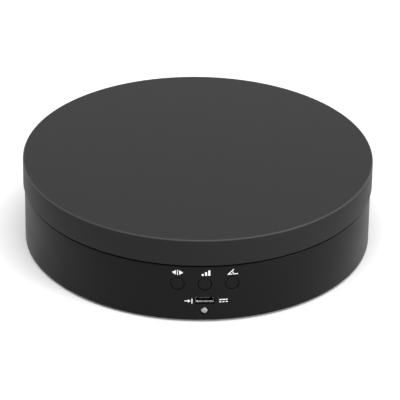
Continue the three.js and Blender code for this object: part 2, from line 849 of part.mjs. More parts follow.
function makeDoor() {
  const CORNER_R = 0.8;
  const TONGUE_HALF_W = 2;
  const LATCH_HALF_W = 4;
  const LATCH_TOP_Z = 6;
  const THUMB_X = 8; // middle of the thumb recess, from the door's free end
  const THUMB_R = 6;
  const GRIP_PITCH = 2.4;
  const GRIP_HALF_T = 0.4;
  const GRIP_HALF_L = 3.2;
  const left = -BAY_HALF_X + DOOR_GAP;
  const right = BAY_HALF_X - DOOR_GAP;
  const half = BAY_HALF_Y - DOOR_GAP;
  const inside = COVER_Z + DOOR_T;
  const rooted = inside - 0.5; // what stands on the door starts inside it
  const outline = roundedRectangle(left, right, BAY_Y - half, BAY_Y + half, CORNER_R);
  let door = extrude(outline, COVER_Z, inside, 2);
  for (const side of [-1, 1]) {
    const y0 = BAY_Y + side * TONGUE_Y - TONGUE_HALF_W;
    const y1 = y0 + 2 * TONGUE_HALF_W;
    door = join(
      door,
      block(right - 1.4, right - 0.1, y0, y1, rooted, TONGUE_TOP_Z),
      block(right - 1.4, TONGUE_END_X, y0, y1, COVER_IN_Z + 0.2, TONGUE_TOP_Z),
    );
  }
  // The springy latch finger, and grip bars beside a thumb recess.
  door = door.add(
    block(left + 0.5, left + 1.5, BAY_Y - LATCH_HALF_W, BAY_Y + LATCH_HALF_W, rooted, LATCH_TOP_Z),
  );
  const thumb = left + THUMB_X;
  door = door.subtract(post(thumb, BAY_Y, THUMB_R, COVER_Z - OVER, COVER_Z + 0.6, 24));
  for (const dx of [-GRIP_PITCH, 0, GRIP_PITCH])
    door = door.add(
      block(
        thumb + dx - GRIP_HALF_T,
        thumb + dx + GRIP_HALF_T,
        BAY_Y - GRIP_HALF_L,
        BAY_Y + GRIP_HALF_L,
        COVER_Z + 0.05,
        inside,
      ),
    );
  return door;
}

// ---------------------------------------------------------------- cell and contacts

function makeCell() {
  const EDGE = 0.6;
  const TERMINAL_R = 3.2;
  const TERMINAL_H = 1;
  const body = revolve(
    [
      [0, 0],
      [CELL_R - EDGE, 0],
      [CELL_R, EDGE],
      [CELL_R, CELL_LENGTH - EDGE],
      [CELL_R - EDGE, CELL_LENGTH],
      [TERMINAL_R, CELL_LENGTH],
      [TERMINAL_R - 0.4, CELL_LENGTH + TERMINAL_H],
      [0, CELL_LENGTH + TERMINAL_H],
    ],
    24,
  );
  const geometry = geometryOf(body);
  geometry.rotateY(Math.PI / 2);
  geometry.translate(CELL_X, BAY_Y, CELL_Z);
  return solidOf(geometry);
}

const SPRING_GAP = 3.75; // from the spring's fixed end to the cell
const SPRING_LENGTH = 3.35;
const SPRING_WIRE_R = 0.32;

// The conical coil that presses on the cell's flat end.
class Coil extends THREE.Curve {
  getPoint(t) {
    const TURNS = 3.25;
    const WIDE_R = 4.3;
    const NARROW_R = 2.6;
    const a = 2 * Math.PI * TURNS * t;
    const r = WIDE_R + (NARROW_R - WIDE_R) * t;
    const x = CELL_X - SPRING_GAP + SPRING_LENGTH * t;
    return new THREE.Vector3(x, BAY_Y + r * Math.cos(a), CELL_Z + r * Math.sin(a));
  }
}

// A plate at each end of the bay, tall enough to reach the lead's hole.
function makeContact(x) {
  const SHEET = 0.4;
  return block(x, x + SHEET, BAY_Y - 6, BAY_Y + 8, CELL_Z - 4.5, LEAD_HOLE_Z + 1.5);
}

// ---------------------------------------------------------------- motor

function makeCan() {
  const EDGE = 1;
  const SHAFT_WELL_R = 3;
  const top = MOTOR_FACE_Z - EAR_T - 0.05;
  const can = revolve(
    [
      [0, MOTOR_BOTTOM_Z],
      [MOTOR_R - EDGE, MOTOR_BOTTOM_Z],
      [MOTOR_R, MOTOR_BOTTOM_Z + EDGE],
      [MOTOR_R, top],
      [0, top],
    ],
    32,
  );
  const geometry = geometryOf(can);
  geometry.translate(MOTOR_X, MOTOR_Y, 0);
  const well = post(PINION_X, PINION_Y, SHAFT_WELL_R, SHAFT_END_Z - 0.4, top + OVER, 12);
  return solidOf(geometry).subtract(well);
}

function makeFacePlate() {
  const BOSS_H = 1.5;
  const EAR_HOLE_R = 2.1;
  const SHAFT_HOLE_R = SHAFT_R + 0.15;
  const lower = MOTOR_FACE_Z - EAR_T;
  const upper = MOTOR_FACE_Z - 0.05;
  let plate = join(
    post(MOTOR_X, MOTOR_Y, MOTOR_R, lower, upper, 32),
    block(
      MOTOR_X - EAR_R,
      MOTOR_X + EAR_R,
      MOTOR_Y - EAR_SPACING,
      MOTOR_Y + EAR_SPACING,
      lower,
      upper,
    ),
    post(PINION_X, PINION_Y, SHAFT_BOSS_R, lower, MOTOR_FACE_Z + BOSS_H, 20),
  );
  for (const side of [-1, 1]) {
    const y = MOTOR_Y + side * EAR_SPACING;
    plate = plate.add(post(MOTOR_X, y, EAR_R, lower, upper, 16));
    plate = plate.subtract(post(MOTOR_X, y, EAR_HOLE_R, lower - OVER, upper + OVER, 12));
  }
  const bore = post(PINION_X, PINION_Y, SHAFT_HOLE_R, lower - OVER, MOTOR_FACE_Z + 2 * BOSS_H, 16);
  return plate.subtract(bore);
}

function makeMotorShaft() {
  const FLATS_Z = SHAFT_END_Z + 5.6; // the shaft is flatted from here up
  const round = new THREE.Shape();
  round.absarc(0, 0, SHAFT_R, 0, 2 * Math.PI, false);
  return join(
    extrude(round, SHAFT_END_Z, FLATS_Z + 0.4, 8),
    extrude(flattedRound(SHAFT_R, SHAFT_HALF_FLAT), FLATS_Z, RING_TOP_Z - 0.1, 4),
  );
}

function makeWireBlock() {
  const HALF_W = 7.3;
  const low = MOTOR_BOTTOM_Z + 2.5;
  const high = MOTOR_FACE_Z - 4;
  const shell = block(
    MOTOR_X + 0.5 * MOTOR_R,
    MOTOR_X + MOTOR_R + 3,
    MOTOR_Y - HALF_W,
    MOTOR_Y + HALF_W,
    low,
    high,
  );
  return shell.subtract(post(MOTOR_X, MOTOR_Y, MOTOR_R + 0.2, low - OVER, high + OVER, 32));
}

// ---------------------------------------------------------------- circuit board and what is on it

function makeBoard() {
  let board = block(
    -BOARD_HALF_W,
    BOARD_HALF_W,
    BOARD_FRONT_Y,
    BOARD_BACK_Y,
    COVER_IN_Z + 0.2,
    DECK_UNDER_Z - 1,
  );
  for (const x of [-BOARD_POST_X, BOARD_POST_X])
    board = board.subtract(
      rodY(x, BOARD_POST_Z, SELF_TAP_R, BOARD_FRONT_Y - OVER, BOARD_BACK_Y + OVER, 16),
    );
  return board;
}

const SWITCH_Y = -67.6; // front face of each switch body

const PLUNGER_R = 1.6;

function makeSwitch(x) {
  const HALF = 3; // half the square body's side
  const WELL_DEPTH = 1.8;
  const body = block(
    x - HALF,
    x + HALF,
    SWITCH_Y,
    BOARD_FRONT_Y - 0.05,
    BUTTON_Z - HALF,
    BUTTON_Z + HALF,
  );
  const wellR = PLUNGER_R + 0.2;
  return body.subtract(rodY(x, BUTTON_Z, wellR, SWITCH_Y - OVER, SWITCH_Y + WELL_DEPTH, 16));
}

const makePlunger = (x) => rodY(x, BUTTON_Z, PLUNGER_R, SWITCH_Y - 1, SWITCH_Y + 1.1, 16);

// A push button whose face follows the wall it comes through.
function makeButton(x) {
  const BACK_Y = -68.75;
  const FLANGE = 0.6;
  const FLANGE_R = 3.5;
  const EDGE = 0.25;
  const faceY = -Math.sqrt(BASE_R * BASE_R - x * x) + 0.15;
  const length = BACK_Y - faceY;
  return revolveForward(
    [
      [0, 0],
      [FLANGE_R, 0],
      [FLANGE_R, FLANGE],
      [BUTTON_R, FLANGE],
      [BUTTON_R, length - EDGE],
      [BUTTON_R - EDGE, length],
      [0, length],
    ],
    x,
    BACK_Y,
    BUTTON_Z,
    20,
  );
}

// The socket's outline, seen from the front, grown by a margin. Its upper corners are cut off.
function socketOutline(halfWidth, halfHeight, corner) {
  return new THREE.Shape([
    new THREE.Vector2(-halfWidth, -halfHeight),
    new THREE.Vector2(halfWidth, -halfHeight),
    new THREE.Vector2(halfWidth, halfHeight - corner),
    new THREE.Vector2(halfWidth - corner, halfHeight),
    new THREE.Vector2(-halfWidth + corner, halfHeight),
    new THREE.Vector2(-halfWidth, halfHeight - corner),
  ]);
}

const SOCKET_MOUTH_Y = -71.1; // set back from the wall

function makeSocket() {
  const SHEET = 0.35;
  const HALF_W = 3.75;
  const HALF_H = 1.3;
  const CORNER = 0.9;
  const upright = (shape, y0, y1) => {
    const geometry = geometryOf(extrude(shape, 0, y1 - y0));
    geometry.rotateX(Math.PI / 2);
    geometry.translate(0, y1, USB_Z);
    return solidOf(geometry);
  };
  const outside = socketOutline(HALF_W, HALF_H, CORNER);
  const inside = socketOutline(HALF_W - SHEET, HALF_H - SHEET, CORNER - 0.1);
  const shell = upright(outside, SOCKET_MOUTH_Y, BOARD_FRONT_Y - 0.05);
  return shell.subtract(upright(inside, SOCKET_MOUTH_Y - OVER, BOARD_FRONT_Y + OVER));
}

// The plastic tongue inside the socket, and the block it grows from.
function makeTongue() {
  const ROOT_HALF_W = 2.5;
  const ROOT_HALF_H = 0.85;
  const HALF_W = 2.3;
  const rootY = SOCKET_MOUTH_Y + 4.1;
  return join(
    block(
      -ROOT_HALF_W,
      ROOT_HALF_W,
      rootY,
      BOARD_FRONT_Y - 0.1,
      USB_Z - ROOT_HALF_H,
      USB_Z + ROOT_HALF_H,
    ),
    block(-HALF_W, HALF_W, SOCKET_MOUTH_Y + 0.8, rootY + 0.5, USB_Z - 0.1, USB_Z + 0.55),
  );
}

// The status light: a domed lens with a flange, and the two legs that carry it on the board.
function makeLed() {
  const FLANGE_Y = -67.35;
  const FLANGE_R = 1.9;
  const FLANGE_T = 1;
  const LENGTH = 5.4;
  const LEG_HALF_T = 0.25;
  const LEG_X = 1.27;
  const domeY = LENGTH - LED_R;
  const lens = revolveForward(
    [
      [0, 0],
      [FLANGE_R, 0],
      [FLANGE_R, FLANGE_T],
      [LED_R, FLANGE_T],
      [LED_R, domeY],
      [LED_R * Math.cos(Math.PI / 6), domeY + LED_R / 2],
      [LED_R / 2, domeY + LED_R * Math.cos(Math.PI / 6)],
      [0, LENGTH],
    ],
    0,
    FLANGE_Y,
    LED_Z,
    16,
  );
  const leg = (x) =>
    block(
      x - LEG_HALF_T,
      x + LEG_HALF_T,
      FLANGE_Y - 0.2,
      BOARD_FRONT_Y - 0.05,
      LED_Z - LEG_HALF_T,
      LED_Z + LEG_HALF_T,
    );
  return join(lens, leg(-LEG_X), leg(LEG_X));
}

// ---------------------------------------------------------------- assembly

// head's radius, head's height, thread's radius and length of each kind of screw
const GEAR_SCREW = [2.6, 1.7, 1.25, 5.6];
const COVER_SCREW = [2.7, 1.8, 1.25, 9.5];
const MOTOR_SCREW = [2.7, 1.7, 1.3, 4.9];
const BOARD_SCREW = [2, 1.4, 1, 4.8];

add("platter_disc", makePlatter(), "platter");
add("ring_gear", makeRingGear(), "nylon");
THIRDS.forEach((degrees, i) => {
  const place = around(degrees, LUG_R);
  const screw = add(`ring_gear_screw_${i + 1}`, panScrew(...GEAR_SCREW), "screw", place);
  screw.position.z = LUG_Z - 0.05;
});
add("spindle", makeSpindle(), "steel");
add("spindle_clip", makeClip(), "steel");
add("bearing_inner_ring", makeRace(INNER_FACE_R, SPINDLE_R + 0.05), "steel");
add("bearing_outer_ring", makeRace(OUTER_FACE_R, BEARING_R), "steel");
add("bearing_balls_and_cage", makeBallCage(), "steel");

// A roller lying along its own axis, with bevelled rims.
function makeRoller() {
  const EDGE = 0.5;
  const half = ROLLER_W / 2;
  return ring(
    [
      [AXLE_R + 0.1, -half],
      [ROLLER_R - EDGE, -half],
      [ROLLER_R, EDGE - half],
      [ROLLER_R, half - EDGE],
      [ROLLER_R - EDGE, half],
      [AXLE_R + 0.1, half],
    ],
    16,
  );
}

add("base_housing", makeHousing(), "base");
for (let i = 0; i < ROLLER_COUNT; i++) {
  const place = around(45 + (360 * i) / ROLLER_COUNT);
  const wheel = add(`roller_${i + 1}`, makeRoller(), "nylon", place);
  wheel.rotation.y = Math.PI / 2;
  wheel.position.set(TRACK_R, 0, ROLLER_Z);
  const reach = ROLLER_W / 2 + EAR_WALL + 0.5;
  const axle = rodX(0, ROLLER_Z, AXLE_R, TRACK_R - reach, TRACK_R + reach, 8);
  add(`roller_axle_${i + 1}`, axle, "steel", place);
}

add("bottom_cover", makeCover(), "cover");
FOOT_ANGLES.forEach((degrees, i) => {
  add(`rubber_foot_${i + 1}`, makeFoot(), "rubber", around(degrees, FOOT_CIRCLE_R));
});
SCREW_ANGLES.forEach((degrees, i) => {
  const place = around(degrees, SCREW_CIRCLE_R);
  const screw = add(`cover_screw_${i + 1}`, panScrew(...COVER_SCREW), "screw", place);
  screw.position.z = SCREW_SEAT_Z - 0.1;
});

add("battery_door", makeDoor(), "cover");
add("battery_cell", makeCell(), "wrap");
add("battery_spring", wire(new Coil(), SPRING_WIRE_R, 39, 5), "nickel");
add("battery_contact_negative", makeContact(0.2 - BAY_HALF_X), "nickel");
add("battery_contact_positive", makeContact(BAY_HALF_X - 0.8), "nickel");
const LEAD_R = 0.65;
const NEGATIVE_LEAD = [
  [-BAY_HALF_X, LEAD_HOLE_Y, LEAD_HOLE_Z],
  [-BAY_HALF_X - BAY_WALL, LEAD_HOLE_Y, LEAD_HOLE_Z],
  [-41, 30.2, 17],
  [-45, 26, 12],
  [-50, 17, 9],
  [-51, -6, 7],
  [-40, -34, 8],
  [-27, -50, 9],
  [-13, -57, 8],
  [-8, BOARD_BACK_Y + 0.5, 8],
];
add("battery_lead_negative", wire(through(NEGATIVE_LEAD), LEAD_R, 24, 6), "blackWire");
const POSITIVE_LEAD = [
  [BAY_HALF_X, LEAD_HOLE_Y, LEAD_HOLE_Z],
  [BAY_HALF_X + BAY_WALL, LEAD_HOLE_Y, LEAD_HOLE_Z],
  [41, 30.2, 17],
  [45, 26, 12],
  [50, 15, 8],
  [52, -8, 6.5],
  [43, -36, 7.5],
  [26, -52, 8],
  [10, -57, 6.5],
  [-3, BOARD_BACK_Y + 0.7, 8],
];
add("battery_lead_positive", wire(through(POSITIVE_LEAD), LEAD_R, 24, 6), "redWire");

add("motor_can", makeCan(), "can");
add("motor_face_plate", makeFacePlate(), "can");
add("motor_shaft", makeMotorShaft(), "brass").position.set(PINION_X, PINION_Y, 0);
add("drive_pinion", makePinion(), "nylon").position.set(PINION_X, PINION_Y, 0);
[-1, 1].forEach((side, i) => {
  const screw = add(`motor_screw_${i + 1}`, panScrew(...MOTOR_SCREW), "screw");
  screw.position.set(MOTOR_X, MOTOR_Y + side * EAR_SPACING, MOTOR_FACE_Z - EAR_T - 0.05);
});
add("motor_wire_block", makeWireBlock(), "blue");
const MOTOR_LEAD = [
  [MOTOR_X + MOTOR_R + 3.2, MOTOR_Y, 12],
  [MOTOR_X + MOTOR_R + 4.8, MOTOR_Y, 12],
  [MOTOR_X + MOTOR_R + 8, MOTOR_Y - 4, 12.4],
  [42, -36, 14],
  [31, -46, 15.5],
  [18, -48.5, 16],
  [11.5, -49.5, 16],
  [10, -52, 16],
  [10, -55, 16],
];
const MOTOR_LEAD_R = 1.2;
add("motor_lead", wire(through(MOTOR_LEAD), MOTOR_LEAD_R, 18), "greyWire");

add("circuit_board", makeBoard(), "board");
[-1, 1].forEach((side, i) => {
  const screw = add(`board_screw_${i + 1}`, panScrew(...BOARD_SCREW), "screw");
  screw.rotation.x = Math.PI / 2;
  screw.position.set(side * BOARD_POST_X, BOARD_BACK_Y + 0.05, BOARD_POST_Z);
});
add(
  "controller_chip",
  block(-14, -4, BOARD_BACK_Y + 0.05, BOARD_BACK_Y + 1.6, 13.5, 17.5),
  "chip",
);
add(
  "motor_connector",
  block(3, 17, BOARD_BACK_Y + 0.05, BOARD_BACK_Y + 7.2, 13.2, 18.9),
  "connector",
);
["direction", "speed", "angle"].forEach((use, i) => {
  const x = BUTTON_PITCH * (i - 1);
  add(`${use}_button`, makeButton(x), "button");
  add(`${use}_switch_plunger`, makePlunger(x), "chip");
  add(`${use}_switch_body`, makeSwitch(x), "chip");
});
add("usb_socket_shell", makeSocket(), "nickel");
add("usb_socket_tongue", makeTongue(), "chip");
add("status_led", makeLed(), "lens");

export default stand;
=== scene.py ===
"""The looks of a motorised turntable display stand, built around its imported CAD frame.

Shapes are made in millimetres in the row frame (+Z up, the control panel towards -Y) and scaled to metres
once, when present() turns each one into a finished piece.
"""
import json
import math

import bmesh
import bpy
from mathutils import Matrix, Quaternion, Vector


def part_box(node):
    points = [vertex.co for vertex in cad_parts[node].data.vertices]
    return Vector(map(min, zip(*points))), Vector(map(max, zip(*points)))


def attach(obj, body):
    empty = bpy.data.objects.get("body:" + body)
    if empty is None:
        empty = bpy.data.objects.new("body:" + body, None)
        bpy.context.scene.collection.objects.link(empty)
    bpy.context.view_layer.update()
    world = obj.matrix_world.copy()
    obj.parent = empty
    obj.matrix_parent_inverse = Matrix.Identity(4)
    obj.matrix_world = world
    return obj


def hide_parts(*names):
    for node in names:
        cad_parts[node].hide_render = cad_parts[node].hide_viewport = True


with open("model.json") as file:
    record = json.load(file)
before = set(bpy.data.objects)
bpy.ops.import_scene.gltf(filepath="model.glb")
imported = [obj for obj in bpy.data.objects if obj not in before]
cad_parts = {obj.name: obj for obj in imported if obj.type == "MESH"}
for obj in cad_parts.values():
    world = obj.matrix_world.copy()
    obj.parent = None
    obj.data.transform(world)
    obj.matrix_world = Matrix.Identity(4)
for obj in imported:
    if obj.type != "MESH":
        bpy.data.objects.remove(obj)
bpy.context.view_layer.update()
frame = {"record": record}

MM = 0.001
BODY = {node: body for body, nodes in frame["record"]["behaviour"]["bodies"].items() for node in nodes}
SLOT = {part["node"]: part["material_slot"] for part in frame["record"]["subparts"]}


def span(node):
    """A CAD node's lowest and highest corner, in millimetres."""
    low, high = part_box(node)
    return low / MM, high / MM


def middle(node):
    low, high = span(node)
    return (low + high) / 2


# ---- sizes

PLATTER_R = span("platter_disc")[1].x
TOP_Z = span("platter_disc")[1].z
BASE_R = span("base_housing")[1].x
BASE_Z = span("base_housing")[0].z
COVER_R = span("bottom_cover")[1].x
GEAR_LOW, GEAR_HIGH = span("ring_gear")
BEARING_LOW, BEARING_HIGH = span("bearing_outer_ring")
MOTOR = middle("motor_can")
MOTOR_R = span("motor_can")[1].x - MOTOR.x
MOTOR_FACE_Z = 23  # the bosses on the deck that the motor's ears are screwed to end here
PINION = middle("drive_pinion")
BOARD_LOW, BOARD_HIGH = span("circuit_board")

SKIRT_Z = TOP_Z - 11.7  # lower edge of the platter's side wall
UNDERSIDE_Z = TOP_Z - 2.8
SKIRT_IN_R = PLATTER_R - 2.4
DECK_Z = SKIRT_Z - 0.8
DECK_UNDER_Z = DECK_Z - 2
BASE_IN_R = BASE_R - 2.2
COVER_IN_Z = BASE_Z + 2

BUTTON_XS = {"direction": -11, "speed": 0, "angle": 11}
BUTTON_Z = middle("speed_button").z
BUTTON_HOLE_R = 2.9
USB_Z = middle("usb_socket_shell").z
LED_Z = middle("status_led").z
LED_R = 1.5

TRACK_R = 60.5
TRACK_HALF = 3.2
TRACK_Z = 31.1
ROLLER_W = 5
ROLLER_Z = middle("roller_1").z
CORNERS = (45, 135, 225, 315)  # the directions of the rollers and the feet, in degrees
THIRDS = (0, 120, 240)
LUG_R = 38  # the ring gear's screws, and the lugs that they hold
LUG_HALF = 3.6
SCREW_CIRCLE_R = 62
SCREW_ANGLES = (30, 150, 210, 330)
FOOT_CIRCLE_R = 58

BAY_Y = middle("battery_cell").y
CELL_Z = middle("battery_cell").z
BAY_HALF_X = 36
BAY_HALF_Y = 10.4
BAY_WALL = 1.4
TONGUE_Y = 7

FINE = 288  # sides of the large round parts
OVER = 1  # how far a cutter runs past what it cuts


# ---- mesh code


def linked(data):
    """An object with this data, in the scene."""
    made = bpy.data.objects.new(data.name, data)
    bpy.context.scene.collection.objects.link(made)
    return made


def new_object(bm):
    mesh = bpy.data.meshes.new("shape")
    bmesh.ops.recalc_face_normals(bm, faces=bm.faces)
    bm.to_mesh(mesh)
    bm.free()
    return linked(mesh)


def applied(made):
    """A mesh of the object as it shows, with its modifiers applied."""
    depsgraph = bpy.context.evaluated_depsgraph_get()
    return bpy.data.meshes.new_from_object(made.evaluated_get(depsgraph))


def skin(rings, closed=False):
    """A surface through rings of points. A ring of equal points is a pole, and open ends are capped."""
    bm = bmesh.new()
    made = []
    for ring in rings:
        pole = all((Vector(p) - Vector(ring[0])).length < 1e-6 for p in ring)
        made.append([bm.verts.new(ring[0])] * len(ring) if pole else [bm.verts.new(p) for p in ring])
    for here, there in zip(made, made[1:] + made[:1] if closed else made[1:]):
        for i in range(len(here)):
            j = (i + 1) % len(here)
            corners = list(dict.fromkeys((here[i], here[j], there[j], there[i])))
            if len(corners) > 2:
                bm.faces.new(corners)
    if not closed:
        for ring in (made[0], made[-1]):
            if ring[0] is not ring[1]:
                bm.faces.new(ring)
    return new_object(bm)


def rounded(corners, steps=4, closed=False):
    """Corners given as (x, y) or (x, y, fillet radius), with the fillets drawn as arcs."""
    out = []
    count = len(corners)
    for i, corner in enumerate(corners):
        here = Vector(corner[:2])
        if len(corner) < 3 or not (closed or 0 < i < count - 1):
            out.append(here)
            continue
        back = (Vector(corners[i - 1][:2]) - here).normalized()
        ahead = (Vector(corners[(i + 1) % count][:2]) - here).normalized()
        half = back.angle(ahead) / 2
        centre = here + (back + ahead).normalized() * (corner[2] / math.sin(half))
        first = here + back * (corner[2] / math.tan(half)) - centre
        sweep = (math.pi - 2 * half) * (1 if back.cross(ahead) < 0 else -1)
        for step in range(steps + 1):
            out.append(centre + Matrix.Rotation(sweep * step / steps, 2) @ first)
    return out


def circle(radius, sides=48, x=0, y=0):
    turns = [2 * math.pi * i / sides for i in range(sides)]
    return [(x + radius * math.cos(a), y + radius * math.sin(a)) for a in turns]


def lathe(profile, sides=FINE, closed=False, steps=4):
    """A profile of (radius, height) corners turned about Z. An open profile starts and ends on the axis."""
    rings = []
    for point in rounded(profile, steps, closed):
        rings.append([(x, y, point.y) for x, y in circle(point.x, sides)])
    return skin(rings, closed)


def prism(outline, low, high):
    """A closed outline of (x, y) corners, raised from one height to another."""
    return skin([[(x, y, z) for x, y in outline] for z in (low, high)])


def block(x0, x1, y0, y1, z0, z1):
    return prism([(x0, y0), (x1, y0), (x1, y1), (x0, y1)], z0, z1)


def post(x, y, radius, low, high, sides=48):
    return prism(circle(radius, sides, x, y), low, high)


def moved(made, matrix):
    made.data.transform(matrix)
    return made


def shifted(made, x=0, y=0, z=0):
    return moved(made, Matrix.Translation((x, y, z)))


def turned(made, degrees, axis="Z"):
    return moved(made, Matrix.Rotation(math.radians(degrees), 4, axis))


def facing_front(made, x, y, z):
    """A shape made on the Z axis, laid so that its +Z points to -Y, and put at a point."""
    return shifted(turned(made, 90, "X"), x, y, z)


def facing_back(made, x, y, z):
    return shifted(turned(made, -90, "X"), x, y, z)


def rod_y(x, z, radius, y0, y1, sides=48):
    return facing_front(post(0, 0, radius, 0, y1 - y0, sides), x, y1, z)


def rod_x(y, z, radius, x0, x1, sides=48):
    return shifted(turned(post(0, 0, radius, 0, x1 - x0, sides), 90, "Y"), x0, y, z)


def rectangle(x0, x1, y0, y1, radius, steps=5):
    """A rounded rectangle's outline."""
    corners = [(x0, y0, radius), (x1, y0, radius), (x1, y1, radius), (x0, y1, radius)]
    return [tuple(p) for p in rounded(corners, steps, closed=True)]


def ringed(angles, shape, *sizes):
    """The same shape at several angles about Z, in degrees."""
    return [turned(shape(*sizes), degrees) for degrees in angles]


def disc(radius, low, high, low_edge=0, high_edge=0, sides=48):
    """A round solid about Z. Each of its two edges is rounded by a radius, or sharp at 0."""
    edges = [(radius, z, edge) if edge else (radius, z) for z, edge in ((low, low_edge), (high, high_edge))]
    return lathe([(0, low), *edges, (0, high)], sides)


def joined(parts):
    """Several shapes as one mesh, each still a closed surface of its own."""
    bm = bmesh.new()
    for part in parts:
        bm.from_mesh(part.data)
        bpy.data.objects.remove(part)
    return new_object(bm)


def combined(base, parts, operation):
    """The base united with the parts, cut by them, or kept only where they are."""
    tool = joined(parts)
    change = base.modifiers.new("tool", "BOOLEAN")
    change.operation = operation
    change.solver = "EXACT"
    change.use_self = len(parts) > 1
    change.object = tool
    result = applied(base)
    base.modifiers.clear()
    base.data = result
    bpy.data.objects.remove(tool)
    return base


def united(base, *parts):
    return combined(base, parts, "UNION")


def cut(base, *parts):
    return combined(base, parts, "DIFFERENCE")


def kept_within(base, part):
    return combined(base, [part], "INTERSECT")


def wire(points, radius, rings=8, coarse=6):
    """A round wire through the points."""
    curve = bpy.data.curves.new("wire", "CURVE")
    curve.dimensions = "3D"
    curve.bevel_depth = radius
    curve.bevel_resolution = rings // 2 - 1
    curve.use_fill_caps = True
    curve.resolution_u = coarse
    spline = curve.splines.new("BEZIER")
    spline.bezier_points.add(len(points) - 1)
    for knot, point in zip(spline.bezier_points, points):
        knot.co = point
        knot.handle_left_type = knot.handle_right_type = "AUTO"
    holder = linked(curve)
    mesh = applied(holder)
    bpy.data.objects.remove(holder)
    return linked(mesh)


def present(made, name, node, slot=None, crease=32, soften=0.0):
    """Makes a shape in millimetres a finished piece, with the body and the finish of a CAD node.

    It stands in for that node, unless a slot of its own marks it as an addition to the piece that does.
    Edges sharper than crease degrees show sharp, and soften rounds them by that radius.
    """
    finish = slot or SLOT[node]
    made.name = made.data.name = name
    made.data.transform(Matrix.Scale(MM, 4))
    made.data.materials.clear()
    made.data.materials.append(LOOKS[finish].material)
    shade_smooth(made, crease, soften)
    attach(made, BODY[node])
    if slot is None:
        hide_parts(node)


def shade_smooth(made, crease, soften):
    for polygon in made.data.polygons:
        polygon.use_smooth = True
    made.data.set_sharp_from_angle(angle=math.radians(crease))
    if soften:
        rounding = made.modifiers.new("soften", "BEVEL")
        rounding.width = soften * MM
        rounding.segments = 2
        rounding.limit_method = "ANGLE"
        rounding.angle_limit = math.radians(crease)
        rounding.harden_normals = True


# ---- materials


class Look:
    """A procedural material, built from short calls. Its textures run in the piece's own space, in mm."""

    def __init__(self, name, **shader):
        self.material = bpy.data.materials.new(name)
        self.material.use_nodes = True
        self.tree = self.material.node_tree
        self.shader = self.tree.nodes["Principled BSDF"]
        place = self.tree.nodes.new("ShaderNodeTexCoord").outputs["Object"]
        self.place = self.add("ShaderNodeVectorMath", operation="SCALE", Vector=place, Scale=1 / MM)
        for key, value in shader.items():
            self.put(self.shader, key, value)

    def put(self, node, key, value):
        socket = node.inputs[key if isinstance(key, int) else key.replace("_", " ")]
        if isinstance(value, bpy.types.NodeSocket):
            self.tree.links.new(value, socket)
        elif socket.type == "RGBA":
            socket.default_value = (*value, 1)
        else:
            socket.default_value = value

    def add(self, kind, out=0, **values):
        """Adds a node and returns one output. A value names a setting of the node, or else an input."""
        node = self.tree.nodes.new(kind)
        settings = {key: value for key, value in values.items() if hasattr(node, key)}
        for key, value in settings.items():
            setattr(node, key, value)
        for key, value in values.items():
            if key not in settings:
                self.put(node, key, value)
        return node.outputs[out]

    def noise(self, size, detail=2.0, stretch=(1, 1, 1), seed=0.0):
        """Noise with features about size millimetres across, drawn out along an axis by a factor."""
        place = self.add(
            "ShaderNodeMapping",
            Vector=self.place,
            Location=(seed, seed * 2, seed * 3),
            Scale=tuple(1 / (size * s) for s in stretch),
        )
        return self.add("ShaderNodeTexNoise", Vector=place, Scale=1.0, Detail=detail)

    def ramp(self, value, low, high, to_low=0.0, to_high=1.0):
        ends = {"From_Min": low, "From_Max": high, "To_Min": to_low, "To_Max": to_high}
        return self.add("ShaderNodeMapRange", Value=value, **ends)

    def spread(self, noise, low=0.0, high=1.0):
        """Noise, which seldom leaves 0.3 to 0.7, drawn out to run from low to high."""
        return self.ramp(noise, 0.3, 0.7, low, high)

    def maths(self, operation, first, second=0.0):
        node = self.tree.nodes.new("ShaderNodeMath")
        node.operation = operation
        self.put(node, 0, first)
        self.put(node, 1, second)
        return node.outputs[0]

    def mix(self, factor, first, second):
        node = self.tree.nodes.new("ShaderNodeMix")
        node.data_type = "RGBA"
        self.put(node, 0, factor)
        self.put(node, 6, first)
        self.put(node, 7, second)
        return node.outputs[2]

    def length(self, first, second):
        """The distance that two steps at right angles make."""
        squares = [self.maths("MULTIPLY", step, step) for step in (first, second)]
        return self.maths("SQRT", self.maths("ADD", *squares))

    def near_circle(self, radius, height, far, near):
        """1 within near millimetres of a circle about Z, falling to 0 at far millimetres."""
        x, y, z = self.add("ShaderNodeSeparateXYZ", Vector=self.place).node.outputs
        out = self.maths("SUBTRACT", self.length(x, y), radius)
        gap = self.length(out, self.maths("SUBTRACT", z, height))
        return self.ramp(gap, far, near)

    def above(self, low, high):
        """0 below one height, rising to 1 at another."""
        up = self.add("ShaderNodeSeparateXYZ", Vector=self.place).node.outputs["Z"]
        return self.ramp(up, low, high)

    def edges(self, width):
        """1 along edges, within about width millimetres of them, and 0 elsewhere, broken up by noise."""
        soft = self.add("ShaderNodeBevel", samples=4, Radius=width * MM)
        true = self.add("ShaderNodeNewGeometry", out="Normal")
        turn = self.add("ShaderNodeVectorMath", out="Value", operation="DOT_PRODUCT")
        self.put(turn.node, 0, soft)
        self.put(turn.node, 1, true)
        worn = self.ramp(turn, 0.995, 0.85)
        return self.maths("MULTIPLY", worn, self.ramp(self.noise(1.2, 4, seed=12.5), 0.3, 0.6, 0.25, 1))

    def colour(self, value):
        self.put(self.shader, "Base Color", value)

    def gloss(self, value):
        self.put(self.shader, "Roughness", value)

    def bump(self, height, depth):
        """A height from 0 to 1 raised by depth millimetres, over any bump already there."""
        normal = self.shader.inputs["Normal"]
        before = normal.links[0].from_socket if normal.links else None
        made = self.add("ShaderNodeBump", Height=height, Distance=depth * MM)
        if before:
            self.put(made.node, "Normal", before)
        self.put(self.shader, "Normal", made)


def shade(colour, factor):
    return tuple(min(1.0, c * factor) for c in colour)


